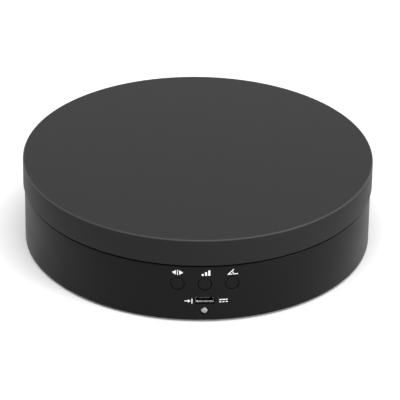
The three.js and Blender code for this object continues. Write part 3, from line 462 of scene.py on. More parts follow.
def moulded(name, colour, roughness=0.5, grain=0.22, depth=0.004, vary=0.08, worn=1.7, smears=0.03,
            **shader):
    """Moulded plastic: a spark-eroded grain, faint flow marks, uneven gloss, and edges rubbed paler."""
    look = Look(name, **shader)
    flow = look.noise(30, 2, seed=3.1)
    speckle = look.noise(grain * 2.3, 3, seed=9.2)
    cast = look.maths("ADD", look.spread(flow, 0, 0.4), look.ramp(speckle, 0.35, 0.65, 0, 0.6))
    body = look.mix(cast, shade(colour, 1 - vary), shade(colour, 1 + vary))
    rubbed = look.edges(0.35)
    look.colour(look.mix(rubbed, body, shade(colour, worn)))
    smear = look.spread(look.noise(9, 3, stretch=(1, 2.2, 1), seed=5.5), -smears, smears)
    shine = look.ramp(rubbed, 0, 1, roughness, roughness - 0.1)
    look.gloss(look.maths("ADD", shine, smear))
    look.bump(look.noise(grain, 2, seed=1.7), depth)
    return look


def turned_metal(name, colour, roughness=0.3, pitch=0.09, **shader):
    """Turned or ground metal: fine rings about Z, a little staining, and brighter edges."""
    look = Look(name, Metallic=1.0, **shader)
    stain = look.ramp(look.noise(3.0, 4, seed=2.2), 0.35, 0.7)
    rings = look.noise(pitch, 1, stretch=(14, 14, 1), seed=4.1)
    body = look.mix(stain, shade(colour, 0.86), shade(colour, 1.04))
    look.colour(look.mix(look.edges(0.15), body, shade(colour, 1.25)))
    look.gloss(look.spread(rings, roughness - 0.08, roughness + 0.1))
    look.bump(rings, 0.002)
    return look


def plated(name, colour, roughness=0.28, **shader):
    """Plated sheet metal: a soft, slightly cloudy shine with fine handling marks and bright edges."""
    look = Look(name, Metallic=1.0, **shader)
    cloud = look.spread(look.noise(1.6, 4, seed=6.2))
    marks = look.noise(0.12, 2, stretch=(1, 9, 1), seed=7.7)
    body = look.mix(cloud, shade(colour, 0.88), shade(colour, 1.05))
    look.colour(look.mix(look.edges(0.12), body, shade(colour, 1.2)))
    look.gloss(look.spread(marks, roughness - 0.07, roughness + 0.12))
    look.bump(marks, 0.001)
    return look


def rubber_look():
    """Moulded rubber with a dusty bloom, scuffed pale along its edges."""
    look = Look("rubber", Specular_IOR_Level=0.35)
    bloom = look.noise(2.4, 4, seed=1.1)
    body = look.mix(look.ramp(bloom, 0.35, 0.7), (0.009, 0.009, 0.009), (0.022, 0.021, 0.021))
    look.colour(look.mix(look.edges(0.4), body, (0.05, 0.049, 0.048)))
    look.gloss(look.spread(bloom, 0.72, 0.88))
    look.bump(look.noise(0.16, 2), 0.01)
    return look


def ink_look():
    """Pad-printed white ink: dense, a little uneven, with a fine tooth."""
    look = Look("white_ink", Specular_IOR_Level=0.3)
    thin = look.noise(0.5, 3, seed=8.8)
    look.colour(look.mix(look.ramp(thin, 0.3, 0.75), (0.66, 0.66, 0.65), (0.9, 0.9, 0.89)))
    look.gloss(look.spread(thin, 0.4, 0.55))
    look.bump(look.noise(0.1, 1), 0.002)
    return look


def board_look():
    """Green solder mask over copper tracks, which show as slightly raised, lighter lanes."""
    look = Look("solder_mask", Coat_Weight=0.35, Coat_Roughness=0.12)
    upright = look.add("ShaderNodeMapping", Vector=look.place, Rotation=(math.pi / 2, 0, 0))
    bricks = look.add("ShaderNodeTexBrick", out="Fac", Vector=upright, Scale=0.55, Mortar_Size=0.06)
    cloud = look.noise(4, 3, seed=2.7)
    mask = look.mix(look.spread(cloud), (0.008, 0.1, 0.032), (0.014, 0.15, 0.05))
    tracks = look.mix(bricks, mask, (0.03, 0.24, 0.09))
    look.colour(look.mix(look.edges(0.2), tracks, (0.2, 0.22, 0.09)))
    look.gloss(look.spread(cloud, 0.32, 0.42))
    look.bump(bricks, 0.03)
    return look


def platter_look():
    """The platter's plastic: the top painted paler as painted light from above, and the upper rim smoother
    by use and painted paler as a painted highlight.
    """
    look = moulded("platter_abs", PLATTER_GREY, depth=0.003, vary=0.04, smears=0.006,
                   Specular_IOR_Level=0.09)
    # This rim mask drives a painted highlight in the colour along the upper edge, and a real lowering of
    # roughness there.
    rim = look.near_circle(PLATTER_R, TOP_Z, far=0.65, near=0.3)
    body = look.shader.inputs["Base Color"].links[0].from_socket
    shine = look.shader.inputs["Roughness"].links[0].from_socket
    # Painted light: the flat top is painted paler than the side, standing in for the brighter light that
    # falls on it from above.
    top = look.above(TOP_Z - 0.3, TOP_Z - 0.1)
    paler = look.mix(top, body, shade(PLATTER_GREY, TOP_PAINTED_LIGHT))
    look.colour(look.mix(rim, paler, shade(PLATTER_GREY, RIM_PAINTED_HIGHLIGHT)))
    look.gloss(look.maths("SUBTRACT", shine, look.ramp(rim, 0, 1, 0, 0.14)))
    return look


# The second factor paints the top paler as painted light from above; the third paints the upper rim paler
# as a painted highlight.
PLATTER_GREY, TOP_PAINTED_LIGHT, RIM_PAINTED_HIGHLIGHT = (0.0135,) * 3, 1.85, 4
BASE_GREY = (0.004,) * 3

LOOKS = {
    "platter": platter_look(),
    "base": moulded("base_abs", BASE_GREY, 0.4, depth=0.003, Specular_IOR_Level=0.11),
    "button": moulded("button_abs", BASE_GREY, 0.4, grain=0.12, depth=0.002, Specular_IOR_Level=0.11),
    "rubber": rubber_look(),
    "screw": turned_metal("black_zinc", (0.16, 0.16, 0.165), 0.36),
    "steel": turned_metal("ground_steel", (0.55, 0.56, 0.57), 0.24),
    "can": plated("zinc_plate", (0.6, 0.61, 0.62), 0.33),
    "nylon": moulded("acetal", (0.78, 0.76, 0.7), 0.36, grain=0.15, depth=0.002, vary=0.04, worn=1.06),
    "brass": turned_metal("turned_brass", (0.72, 0.48, 0.16), 0.24),
    "blue_plastic": moulded("blue_abs", (0.02, 0.1, 0.42), 0.4),
    "board": board_look(),
    "black_plastic": moulded("moulding_compound", (0.016, 0.016, 0.017), 0.5, grain=0.08, depth=0.003),
    "connector": moulded("connector_nylon", (0.76, 0.74, 0.66), 0.45, grain=0.12, vary=0.05, worn=1.05),
    "nickel": plated("nickel_plate", (0.7, 0.69, 0.675), 0.17),
    "lens": moulded("clear_epoxy", (0.75, 0.76, 0.77), 0.2, depth=0.0005, vary=0.03, worn=1.1,
                    Transmission_Weight=0.75, IOR=1.52, Coat_Weight=0.5, Coat_Roughness=0.05),
    "cell_wrap": moulded("shrink_wrap", (0.02, 0.26, 0.22), 0.28, grain=0.5, depth=0.004,
                         Coat_Weight=0.4, Coat_Roughness=0.1),
    "red_wire": moulded("red_insulation", (0.42, 0.016, 0.012), 0.42),
    "black_wire": moulded("black_insulation", (0.014, 0.014, 0.015), 0.42),
    "grey_wire": moulded("grey_insulation", (0.2, 0.2, 0.21), 0.42),
    "ink": ink_look(),
}


# ---- platter


def make_platter():
    """The cap with its track, bearing hub, ribs, and lugs that the ring gear is screwed to."""
    track_in, track_out = TRACK_R - TRACK_HALF, TRACK_R + TRACK_HALF
    body = lathe(
        [
            (0, TOP_Z), (PLATTER_R, TOP_Z, 0.65), (PLATTER_R, SKIRT_Z, 0.35), (SKIRT_IN_R, SKIRT_Z, 0.3),
            (SKIRT_IN_R, UNDERSIDE_Z, 0.8), (track_out, UNDERSIDE_Z, 0.5), (track_out, TRACK_Z, 0.4),
            (track_in, TRACK_Z, 0.4), (track_in, UNDERSIDE_Z, 0.5), (0, UNDERSIDE_Z),
        ],
        steps=6,
    )
    hub_r, nose_r, bore_r, rib_half = 9, 4.6, 3.06, 0.8
    nose_z = BEARING_HIGH.z + 0.05
    step_z, root_z = nose_z + 2.2, UNDERSIDE_Z + OVER
    hub = lathe(
        [
            (0, root_z), (hub_r, root_z), (hub_r, step_z, 0.5), (nose_r, step_z), (nose_r, nose_z, 0.3),
            (0, nose_z),
        ],
        72,
    )
    ribs = ringed(range(30, 360, 60), block, hub_r - 1, track_in + OVER, -rib_half, rib_half,
                  GEAR_HIGH.z + 0.1, root_z)
    lugs = ringed(THIRDS, post, LUG_R, 0, LUG_HALF, GEAR_HIGH.z + 0.05, root_z)
    hole_r, hole_top = 1.4, 36.9
    holes = ringed(THIRDS, post, LUG_R, 0, hole_r, GEAR_HIGH.z - OVER, hole_top, 32)
    bore = post(0, 0, bore_r, nose_z - OVER, span("spindle")[1].z + 0.3)
    cut(united(body, hub, *ribs, *lugs), bore, *holes)
    present(body, "platter_cap", "platter_disc", soften=0.15)


# ---- base housing


def panel_cutters():
    """The holes in the wall for the three buttons, the status light and the power socket."""
    front, back = -76, -66
    holes = [rod_y(x, BUTTON_Z, BUTTON_HOLE_R, front, back, 72) for x in BUTTON_XS.values()]
    holes.append(rod_y(0, LED_Z, LED_R + 0.2, front, back))
    slot = prism(rectangle(-4, 4, -1.65, 1.65, 0.5), 0, back - front)
    return holes + [facing_front(slot, 0, back, USB_Z)]


def roller_pockets():
    """Ears that hold the rollers' axles, and the pockets that the rollers run in."""
    inner, outer = TRACK_R - ROLLER_W / 2 - 0.3, TRACK_R + ROLLER_W / 2 + 0.3
    thick, pocket_half, axle_r = 1.5, 4.3, 1.12
    low, high = DECK_Z - OVER, ROLLER_Z + 2.2
    section = [(-3, low), (3, low), (1.9, high), (-1.9, high)]
    stand_up = Matrix(((0, 0, 1, 0), (1, 0, 0, 0), (0, 1, 0, 0), (0, 0, 0, 1)))
    ears, cuts = [], []
    for degrees in CORNERS:
        for start in (inner - thick, outer):
            ears.append(turned(moved(prism(section, start, start + thick), stand_up), degrees))
        pocket = block(inner, outer, -pocket_half, pocket_half, DECK_UNDER_Z - OVER, DECK_Z + OVER)
        cuts.append(turned(pocket, degrees))
        cuts.append(turned(rod_x(0, ROLLER_Z, axle_r, inner - 3, outer + 3, 32), degrees))
    return ears, cuts


def make_housing():
    """Wall and deck in one, with the bearing's seat, roller pockets, control panel and screw bosses."""
    lip_in, lip_out, lip_z = 67, 68.6, DECK_Z + 2.6  # a low lip inside the platter's side wall
    shell = lathe(
        [
            (0, DECK_UNDER_Z), (BASE_IN_R, DECK_UNDER_Z, 0.8), (BASE_IN_R, BASE_Z, 0.25),
            (BASE_R, BASE_Z, 0.5), (BASE_R, DECK_Z, 0.35), (lip_out, DECK_Z), (lip_out, lip_z, 0.3),
            (lip_in, lip_z, 0.3), (lip_in, DECK_Z), (0, DECK_Z),
        ],
        steps=5,
    )
    seat_z = BEARING_LOW.z - 1.4
    seat_r, bearing_r, shelf_r, pinion_r = 11.8, 9.6, 7.8, 4.8
    ears, cuts = roller_pockets()
    adds = ears + [post(0, 0, seat_r, seat_z, DECK_UNDER_Z + OVER, 72)]
    pad_x, pad_y = 15.2, -69.4
    pad_z = (BUTTON_Z - 3.9, BUTTON_Z + 3.9)
    pad = block(-pad_x, pad_x, pad_y - 2.2, pad_y, *pad_z)
    adds.append(kept_within(pad, post(0, 0, BASE_R - 0.4, 0, DECK_Z, FINE)))
    cuts += panel_cutters()
    cuts.append(block(-pad_x, pad_x, pad_y, BOARD_LOW.y, *pad_z))
    cuts.append(post(0, 0, bearing_r, BEARING_LOW.z - 0.1, DECK_Z + OVER, 96))
    cuts.append(post(0, 0, shelf_r, seat_z - OVER, BEARING_LOW.z, 72))
    cuts.append(post(PINION.x, PINION.y, pinion_r, DECK_UNDER_Z - OVER, DECK_Z + OVER, 48))
    for i in (1, 2):
        at = middle(f"board_screw_{i}")
        adds.append(rod_y(at.x, at.z, 2.4, -69.2, BOARD_LOW.y - 0.05, 32))
        cuts.append(rod_y(at.x, at.z, 1.2, -68.2, BOARD_LOW.y + OVER, 32))
        at = middle(f"motor_screw_{i}")
        adds.append(post(at.x, at.y, 3.4, MOTOR_FACE_Z, DECK_Z + 2.3, 32))
        cuts.append(post(at.x, at.y, 1.5, MOTOR_FACE_Z - OVER, DECK_Z + 1.7, 32))
    boss_r, boss_z, hole_r = 3.6, 6.1, 1.4
    for degrees in SCREW_ANGLES:
        adds.append(turned(post(SCREW_CIRCLE_R, 0, boss_r, boss_z, DECK_UNDER_Z + OVER, 32), degrees))
        web = block(SCREW_CIRCLE_R, BASE_IN_R + 0.8, -0.8, 0.8, 9, DECK_UNDER_Z + OVER)
        adds.append(turned(web, degrees))
        cuts.append(turned(post(SCREW_CIRCLE_R, 0, hole_r, boss_z - 1.1, 15, 32), degrees))
    cut(united(shell, *adds), *cuts)
    present(shell, "housing_shell", "base_housing", soften=0.12)


# ---- buttons, printed marks, socket and light


def make_button(use, x):
    """A push button with a flange behind the wall and a face that follows the wall's curve."""
    node = f"{use}_button"
    flange_r, stem_r, flange, length = 3.5, 2.6, 0.6, 6
    stem = lathe(
        [
            (0, 0), (flange_r, 0), (flange_r, flange, 0.1), (stem_r, flange, 0.1), (stem_r, length),
            (0, length),
        ],
        96,
    )
    wall = post(0, 0, BASE_R - 0.12, 0, DECK_Z, 4 * FINE)
    cap = kept_within(facing_front(stem, x, span(node)[1].y, BUTTON_Z), wall)
    present(cap, f"{use}_key_cap", node, soften=0.22)


def printed(outlines, x, z):
    """White ink on the wall: outlines of (x, z) corners, wrapped on its curve about a middle point."""
    marks = joined([prism(outline, BASE_R - 0.05, BASE_R + 0.03) for outline in outlines])
    for vertex in marks.data.vertices:
        across, up, out = vertex.co
        angle = (across + x) / BASE_R
        vertex.co = (out * math.sin(angle), -out * math.cos(angle), up + z)
    return marks


def bar(x0, x1, z0, z1):
    return [(x0, z0), (x1, z0), (x1, z1), (x0, z1)]


def arc_band(x, z, inner, outer, start, end, steps=8):
    """Part of a ring about (x, z), between two angles in degrees."""
    angles = [math.radians(start + (end - start) * i / steps) for i in range(steps + 1)]
    outside = [(x + outer * math.cos(a), z + outer * math.sin(a)) for a in angles]
    inside = [(x + inner * math.cos(a), z + inner * math.sin(a)) for a in reversed(angles)]
    return outside + inside


def make_marks():
    """Plain symbols on the wall: direction, speed and angle, then power in and direct current."""
    three_bars = [(-1.7 + 1.3 * i, -0.9 + 1.3 * i) for i in range(3)]
    left_and_right = [
        [(-2.25, 0), (-0.7, -1.05), (-0.7, 1.05)],
        [(2.25, 0), (0.7, 1.05), (0.7, -1.05)],
        bar(-0.17, 0.17, -1.2, 1.2),
    ]
    rising = [bar(x0, x1, -1.2, -0.4 + 0.8 * i) for i, (x0, x1) in enumerate(three_bars)]
    open_angle = [
        [(-2.1, -1.2), (2.3, -1.2), (2.3, -0.84), (-1.23, -0.84), (0.81, 1.2), (0.3, 1.2)],
        arc_band(-2.1, -1.2, 2.4, 2.75, 14, 32),
    ]
    power_in = [
        [(-1.6, -0.18), (-0.2, -0.18), (-0.2, -0.75), (0.8, 0), (-0.2, 0.75), (-0.2, 0.18), (-1.6, 0.18)],
        bar(1.2, 1.6, -1.1, 1.1),
    ]
    direct_current = [bar(-1.7, 1.7, 0.3, 0.72)] + [bar(x0, x1, -0.72, -0.3) for x0, x1 in three_bars]
    high_row, low_row = BUTTON_Z + 5.1, USB_Z - 0.3
    symbols = (
        (left_and_right, BUTTON_XS["direction"], high_row),
        (rising, BUTTON_XS["speed"] + 0.4, high_row),
        (open_angle, BUTTON_XS["angle"], high_row),
        (power_in, -6.5, low_row),
        (direct_current, 7.6, low_row),
    )
    marks = joined([printed(*symbol) for symbol in symbols])
    present(marks, "printed_symbols", "base_housing", slot="ink")


def socket_ring(half_width, half_height, y):
    """The socket's outline in the plane at y: round lower corners, and upper corners cut off."""
    slope = 0.9
    corners = [
        (-half_width, -half_height, 0.3),
        (half_width, -half_height, 0.3),
        (half_width, half_height - slope, 0.25),
        (half_width - slope, half_height, 0.25),
        (-half_width + slope, half_height, 0.25),
        (-half_width, half_height - slope, 0.25),
    ]
    return [(p.x, y, USB_Z + p.y) for p in rounded(corners, 4, closed=True)]


def make_socket():
    """A sheet-metal shell whose lips flare at the mouth, and a tongue with five contacts."""
    sheet, lip_x, lip_z = 0.28, 3.7, 1.5
    back, mouth = span("usb_socket_shell")[1].y, span("usb_socket_shell")[0].y
    outer = [(3.55, 1.2, back), (3.55, 1.2, mouth + 0.7), (3.57, 1.25, mouth + 0.45), (lip_x, lip_z, mouth)]
    inner = [(w - sheet, h - sheet, y) for w, h, y in reversed(outer)]
    inner[0] = (lip_x - sheet / 2, lip_z - sheet / 2, mouth - 0.12)
    shell = skin([socket_ring(*ring) for ring in outer + inner], closed=True)
    present(shell, "socket_shell_sheet", "usb_socket_shell", soften=0.04)

    root = block(-2.5, 2.5, -67, back - 0.05, USB_Z - 0.85, USB_Z + 0.85)
    blade = block(-2.3, 2.3, mouth + 0.8, -66.5, USB_Z - 0.1, USB_Z + 0.55)
    present(united(root, blade), "socket_tongue_body", "usb_socket_tongue", soften=0.08)
    strips = []
    pitch, half = 0.65, 0.2
    for i in range(5):
        x = pitch * (i - 2)
        strips.append(block(x - half, x + half, mouth + 1.1, -67.1, USB_Z - 0.16, USB_Z - 0.05))
    present(joined(strips), "socket_contacts", "usb_socket_tongue", "nickel")


def make_status_light():
    """The status light: a domed epoxy lens with a flange, and the metal cup and post inside it."""
    flange_y, flange_r, leg_x, leg_half = -67.35, 1.9, 1.27, 0.25
    tip = flange_y - span("status_led")[0].y
    lens = lathe(
        [(0, 0), (flange_r, 0), (flange_r, 1, 0.15), (LED_R, 1), (LED_R, tip, 1.45), (0, tip)], 64, steps=10
    )
    present(facing_front(lens, 0, flange_y, LED_Z), "light_lens", "status_led", crease=40)
    cup = lathe([(0, 0), (0.5, 0), (0.75, 3.1), (0.5, 3.1), (0.35, 2.7), (0, 2.7)], 32)
    metal = [shifted(cup, -0.45)]
    metal.append(block(0.45, 0.95, -leg_half, leg_half, 0, 3))
    metal.append(wire([(0.7, 0, 2.9), (0.5, 0, 3.4), (0, 0, 3.5), (-0.45, 0, 2.72)], 0.04))
    leg_end = flange_y - BOARD_LOW.y + 0.05
    for x in (-leg_x, leg_x):
        metal.append(block(x - leg_half, x + leg_half, -leg_half, leg_half, leg_end, 0.2))
        metal.append(block(min(x, x / 3), max(x, x / 3), -0.2, 0.2, 0.1, 0.5))
    metal = facing_front(joined(metal), 0, flange_y, LED_Z)
    present(metal, "light_lead_frame", "status_led", "nickel")


# ---- screws


def thread(radius, depth, pitch, length, sides=24):
    """A screw thread along +Z from a little below z = 0, with a blunt point."""
    start = -0.4
    count = int((length - start) / pitch * 4)
    rings = []
    for z in evenly(start, length, count + 1):
        point = min(1, 0.45 + (length - z) / 1.6)
        ring = []
        for i in range(sides):
            wave = abs((z / pitch - i / sides) % 1 * 2 - 1)
            reach = (radius - depth * wave) * point
            a = 2 * math.pi * i / sides
            ring.append((reach * math.cos(a), reach * math.sin(a), z))
        rings.append(ring)
    return skin(rings)


def screw(head_r, head_h, shank_r, length):
    """A pan-head screw with a cross recess, on Z with its head downwards."""
    head = lathe([(0, -head_h), (head_r, -head_h, head_h * 0.95), (head_r, 0), (0, 0)], 48, steps=6)
    body = united(head, thread(shank_r, shank_r * 0.16, 0.6, length))
    long, wide, tip_r = head_r * 0.6, 0.4, head_r * 0.35
    low, high = -head_h - OVER, -head_h * 0.45
    arms = [block(-long, long, -wide, wide, low, high), block(-wide, wide, -long, long, low, high)]
    tip = lathe([(0, low), (tip_r, low), (tip_r, high), (0, high + 0.5)], 4)
    return cut(body, *arms, tip)


SCREWS = (  # kind, how many, then radius and height of the head, radius and length of the shank
    ("cover_screw", 4, 2.7, 1.8, 1.25, 9.5),
    ("ring_gear_screw", 3, 2.6, 1.7, 1.25, 5.6),
    ("motor_screw", 2, 2.7, 1.7, 1.3, 4.9),
    ("board_screw", 2, 2, 1.4, 1, 4.8),
)


def make_screws():
    """Every screw, in its node's place. All but the board's two drive upwards."""
    for kind, count, head_r, head_h, shank_r, length in SCREWS:
        for i in range(1, count + 1):
            node = f"{kind}_{i}"
            place = middle(node)
            made = screw(head_r, head_h, shank_r, length)
            if kind == "board_screw":
                facing_front(made, place.x, span(node)[1].y - head_h, place.z)
            else:
                shifted(made, place.x, place.y, span(node)[0].z + head_h)
            present(made, f"{kind}_thread_{i}", node, soften=0.06)


# ---- bottom cover, feet and battery door


def make_cover():
    """The plate, its locating rim, the battery bay, and seats for the screws, tongues and feet."""
    plate = disc(COVER_R, BASE_Z, COVER_IN_Z, 0.4, 0, FINE)
    rim_in, rim_out, rim_low, rim_top = 67.8, 69, COVER_IN_Z - 0.5, COVER_IN_Z + 1.5
    corners = [(rim_in, rim_low), (rim_out, rim_low), (rim_out, rim_top, 0.3), (rim_in, rim_top, 0.3)]
    gap_for_panel = block(-22, 22, -80, 0, COVER_IN_Z, 10)
    rim = cut(lathe(corners, closed=True), gap_for_panel)
    front, back = BAY_Y - BAY_HALF_Y, BAY_Y + BAY_HALF_Y
    wall, roof_z, roof = BAY_WALL, 21.9, 1.2
    tub_outline = rectangle(-BAY_HALF_X - wall, BAY_HALF_X + wall, front - wall, back + wall, 1.2)
    tub = prism(tub_outline, COVER_IN_Z - OVER, roof_z + roof)
    bay = prism(rectangle(-BAY_HALF_X, BAY_HALF_X, front, back, 0.6), BASE_Z - OVER, roof_z)
    adds, cuts = [rim, tub], [bay]
    slot_half, slot_top, lead_hole_x, lead_hole_z = 2.4, 6.8, 35.5, 18
    for side in (-1, 1):
        y = BAY_Y + side * TONGUE_Y
        slot = block(35.9, BAY_HALF_X + wall + OVER, y - slot_half, y + slot_half, COVER_IN_Z, slot_top)
        x = side * lead_hole_x
        cuts += [slot, rod_x(BAY_Y + 6.6, lead_hole_z, 1, x - 3, x + 3, 32)]
    finger_r, boss_r, head_r, hole_r, foot_r = 5.5, 4.8, 3.3, 1.7, 5.3
    boss_z, head_z = 6, 4.5
    cuts.append(post(-BAY_HALF_X, BAY_Y, finger_r, BASE_Z - OVER, BASE_Z + 1))
    for degrees in SCREW_ANGLES:
        adds.append(turned(post(SCREW_CIRCLE_R, 0, boss_r, COVER_IN_Z - OVER, boss_z), degrees))
        cuts.append(turned(post(SCREW_CIRCLE_R, 0, head_r, BASE_Z - OVER, head_z), degrees))
        cuts.append(turned(post(SCREW_CIRCLE_R, 0, hole_r, BASE_Z, boss_z + OVER), degrees))
    cuts += ringed(CORNERS, post, FOOT_CIRCLE_R, 0, foot_r, BASE_Z - OVER, BASE_Z + 0.7)
    cut(united(plate, *adds), *cuts)
    present(plate, "cover_plate", "bottom_cover", soften=0.15)


def make_feet():
    """Round rubber feet with a shallow cup in the face that they stand on."""
    cup_r, lip_r, radius, cup_z = 3.2, 3.7, 5, 0.35
    for i in range(1, 5):
        node = f"rubber_foot_{i}"
        top = span(node)[1].z
        foot = lathe(
            [
                (0, cup_z), (cup_r, cup_z, 0.6), (lip_r, 0, 0.2), (radius, 0, 0.45), (radius, top, 0.1),
                (0, top),
            ],
            72,
        )
        present(shifted(foot, middle(node).x, middle(node).y), f"foot_pad_{i}", node)


def make_door():
    """The battery door: two hinge tongues, a springy latch finger, and grip bars in a thumb recess."""
    high = span("battery_door")[1]
    gap, thick = 0.3, 1.6
    left, right, half = -BAY_HALF_X + gap, BAY_HALF_X - gap, BAY_HALF_Y - gap
    inside = BASE_Z + thick
    root_z = inside - 0.5
    leaf = prism(rectangle(left, right, BAY_Y - half, BAY_Y + half, 0.8), BASE_Z, inside)
    latch_half, tongue_half, tongue_x, tongue_top = 4, 2, 34.3, 4.2
    latch = rectangle(left + 0.5, left + 1.5, BAY_Y - latch_half, BAY_Y + latch_half, 0.3)
    adds = [prism(latch, root_z, high.z)]
    for side in (-1, 1):
        y0, y1 = (BAY_Y + side * TONGUE_Y + step for step in (-tongue_half, tongue_half))
        adds.append(block(tongue_x, right - 0.1, y0, y1, root_z, tongue_top))
        adds.append(block(tongue_x, high.x, y0, y1, COVER_IN_Z + 0.2, tongue_top))
    rib_half, rib_end = 0.5, half - 2
    for x in (left + 20, 0, right - 20):
        rib = (x - rib_half, x + rib_half, BAY_Y - rib_end, BAY_Y + rib_end)
        adds.append(block(*rib, inside - 0.3, inside + 0.35))
    thumb, dish_deep = left + 8, 0.6
    dish = lathe([(0, -OVER), (6.4, -OVER), (6, dish_deep, 0.4), (0, dish_deep)], 72)
    cut(united(leaf, *adds), shifted(dish, thumb, BAY_Y, BASE_Z))
    grips = []
    for x in (thumb - 2.4, thumb, thumb + 2.4):
        outline = rectangle(x - 0.4, x + 0.4, BAY_Y - 3.2, BAY_Y + 3.2, 0.35)
        grips.append(prism(outline, BASE_Z + 0.05, root_z))
    united(leaf, *grips)
    present(leaf, "door_leaf", "battery_door", soften=0.15)


# ---- gears


PRESSURE = math.radians(20)
RING_TEETH, PINION_TEETH = 60, 12
MESH_ANGLE = math.atan2(PINION.y, PINION.x)  # where the pinion meets the ring
BACKLASH = 0.16


def involute(angle):
    return math.tan(angle) - angle


def tooth_outline(teeth, radii, thickening):
    """Teeth of module 1 with involute flanks through the given radii, the first one at MESH_ANGLE.

    An internal gear's opening is the same outline, with its spaces drawn as teeth.
    """
    pitch_r = teeth / 2
    base_r = pitch_r * math.cos(PRESSURE)
    half_pitch = math.pi / (2 * teeth) + thickening / (2 * pitch_r)
    outline = []
    for i in range(teeth):
        centre = MESH_ANGLE + 2 * math.pi * i / teeth
        for side, flank in ((-1, radii), (1, radii[::-1])):
            for r in flank:
                pressure = math.acos(base_r / r) if r > base_r else 0
                half = half_pitch + involute(PRESSURE) - involute(pressure)
                outline.append((r * math.cos(centre + side * half), r * math.sin(centre + side * half)))
    return outline


def evenly(first, last, count):
    return [first + (last - first) * i / (count - 1) for i in range(count)]


def make_gears():
    """The internal ring gear with its three lugs, and the pinion that turns it."""
    ring_r, pinion_r, outside_r = RING_TEETH / 2, PINION_TEETH / 2, 34.5
    low, high = GEAR_LOW.z, GEAR_HIGH.z
    gear = disc(outside_r, low, high, 0.3, 0.3, 240)
    lug_z, hole_r = high - 2.2, 1.65
    lugs = []
    for degrees in THIRDS:
        arm = block(outside_r - 1.5, LUG_R, -LUG_HALF, LUG_HALF, lug_z, high)
        lugs.append(turned(united(arm, post(LUG_R, 0, LUG_HALF, lug_z, high)), degrees))
    cuts = ringed(THIRDS, post, LUG_R, 0, hole_r, lug_z - OVER, high + OVER, 32)
    opening = tooth_outline(RING_TEETH, evenly(ring_r - 0.5, ring_r + 1.2, 6), BACKLASH)
    cuts.append(prism(opening, low - OVER, high + OVER))
    cut(united(gear, *lugs), *cuts)
    present(gear, "ring_gear_teeth", "ring_gear", soften=0.08)

    flanks = evenly(pinion_r - 1.25, pinion_r + 1, 9)
    low, high = span("drive_pinion")[0].z, span("drive_pinion")[1].z
    pinion = prism(tooth_outline(PINION_TEETH, flanks, -BACKLASH), low, high)
    bore = prism(flatted_round(2.62, 1.6), low - OVER, high + OVER)
    shifted(cut(pinion, bore), PINION.x, PINION.y)
    present(pinion, "pinion_teeth", "drive_pinion", soften=0.08)


def flatted_round(radius, half_flat, steps=10):
    """The outline of a round shaft with two flats."""
    half = math.asin(half_flat / radius)
    out = []
    for start in (-half, math.pi - half):
        for i in range(steps + 1):
            a = start + 2 * half * i / steps
            out.append((radius * math.cos(a), radius * math.sin(a)))
    return out


# ---- spindle, bearing and rollers


def make_spindle():
    """The spindle, and the open snap ring in its groove."""
    low, high = span("spindle")
    clip_low, clip_high = span("spindle_clip")
    radius, groove_r, groove_low, groove_top = 3, 2.35, clip_low.z - 0.05, clip_high.z + 0.05
    shaft = lathe(
        [
            (0, low.z), (radius, low.z, 0.5), (radius, groove_low), (groove_r, groove_low),
            (groove_r, groove_top), (radius, groove_top), (radius, high.z, 0.4), (0, high.z),
        ],
        96,
    )
    present(shaft, "spindle_shaft", "spindle")
    clip_in, clip_out, mouth = 2.45, 5.2, 36
    outline = arc_band(0, 0, clip_in, clip_out, mouth, 360 - mouth, 64)
    present(prism(outline, clip_low.z, clip_high.z), "spindle_snap_ring", "spindle_clip", soften=0.06)


BALL_R, BALL_CIRCLE_R, BALLS = 1.75, 6.2, 7


def make_race(face_r, back_r, name, node):
    """One ring of the bearing, with its ball groove facing the other ring."""
    groove_r = BALL_R + 0.05
    centre_z = (BEARING_LOW.z + BEARING_HIGH.z) / 2
    out = groove_r if face_r > BALL_CIRCLE_R else -groove_r
    reach = math.acos(abs(face_r - BALL_CIRCLE_R) / groove_r)
    profile = [(back_r, BEARING_LOW.z, 0.3), (face_r, BEARING_LOW.z, 0.2)]
    for a in evenly(-reach, reach, 15):
        profile.append((BALL_CIRCLE_R + out * math.cos(a), centre_z + groove_r * math.sin(a)))
    profile += [(face_r, BEARING_HIGH.z, 0.2), (back_r, BEARING_HIGH.z, 0.3)]
    present(lathe(profile, 128, closed=True), name, node, crease=40)


def ball(radius, angle, z):
    bm = bmesh.new()
    bmesh.ops.create_uvsphere(bm, u_segments=40, v_segments=20, radius=radius)
    return shifted(new_object(bm), BALL_CIRCLE_R * math.cos(angle), BALL_CIRCLE_R * math.sin(angle), z)


def make_bearing():
    """Two races, the balls between them, and the cage that holds the balls apart."""
    make_race(4.7, 3.05, "bearing_inner_race", "bearing_inner_ring")
    make_race(7.7, 9.5, "bearing_outer_race", "bearing_outer_ring")
    node = "bearing_balls_and_cage"
    z = middle(node).z
    angles = [2 * math.pi * i / BALLS for i in range(BALLS)]
    present(joined([ball(BALL_R, angle, z) for angle in angles]), "bearing_balls", node)
    inner, outer, low, high = BALL_CIRCLE_R - 0.7, BALL_CIRCLE_R + 0.7, z - 1.3, z + 0.9
    corners = [(inner, low, 0.2), (outer, low, 0.2), (outer, high, 0.2), (inner, high, 0.2)]
    hoop = lathe(corners, 128, closed=True)
    pockets = [ball(BALL_R + 0.08, angle, z) for angle in angles]
    present(cut(hoop, *pockets), "bearing_cage", node, "nylon")


def on_track(made, degrees):
    """A shape on Z, laid along a radius and put where the rollers run."""
    return turned(shifted(turned(made, 90, "Y"), TRACK_R, 0, ROLLER_Z), degrees)


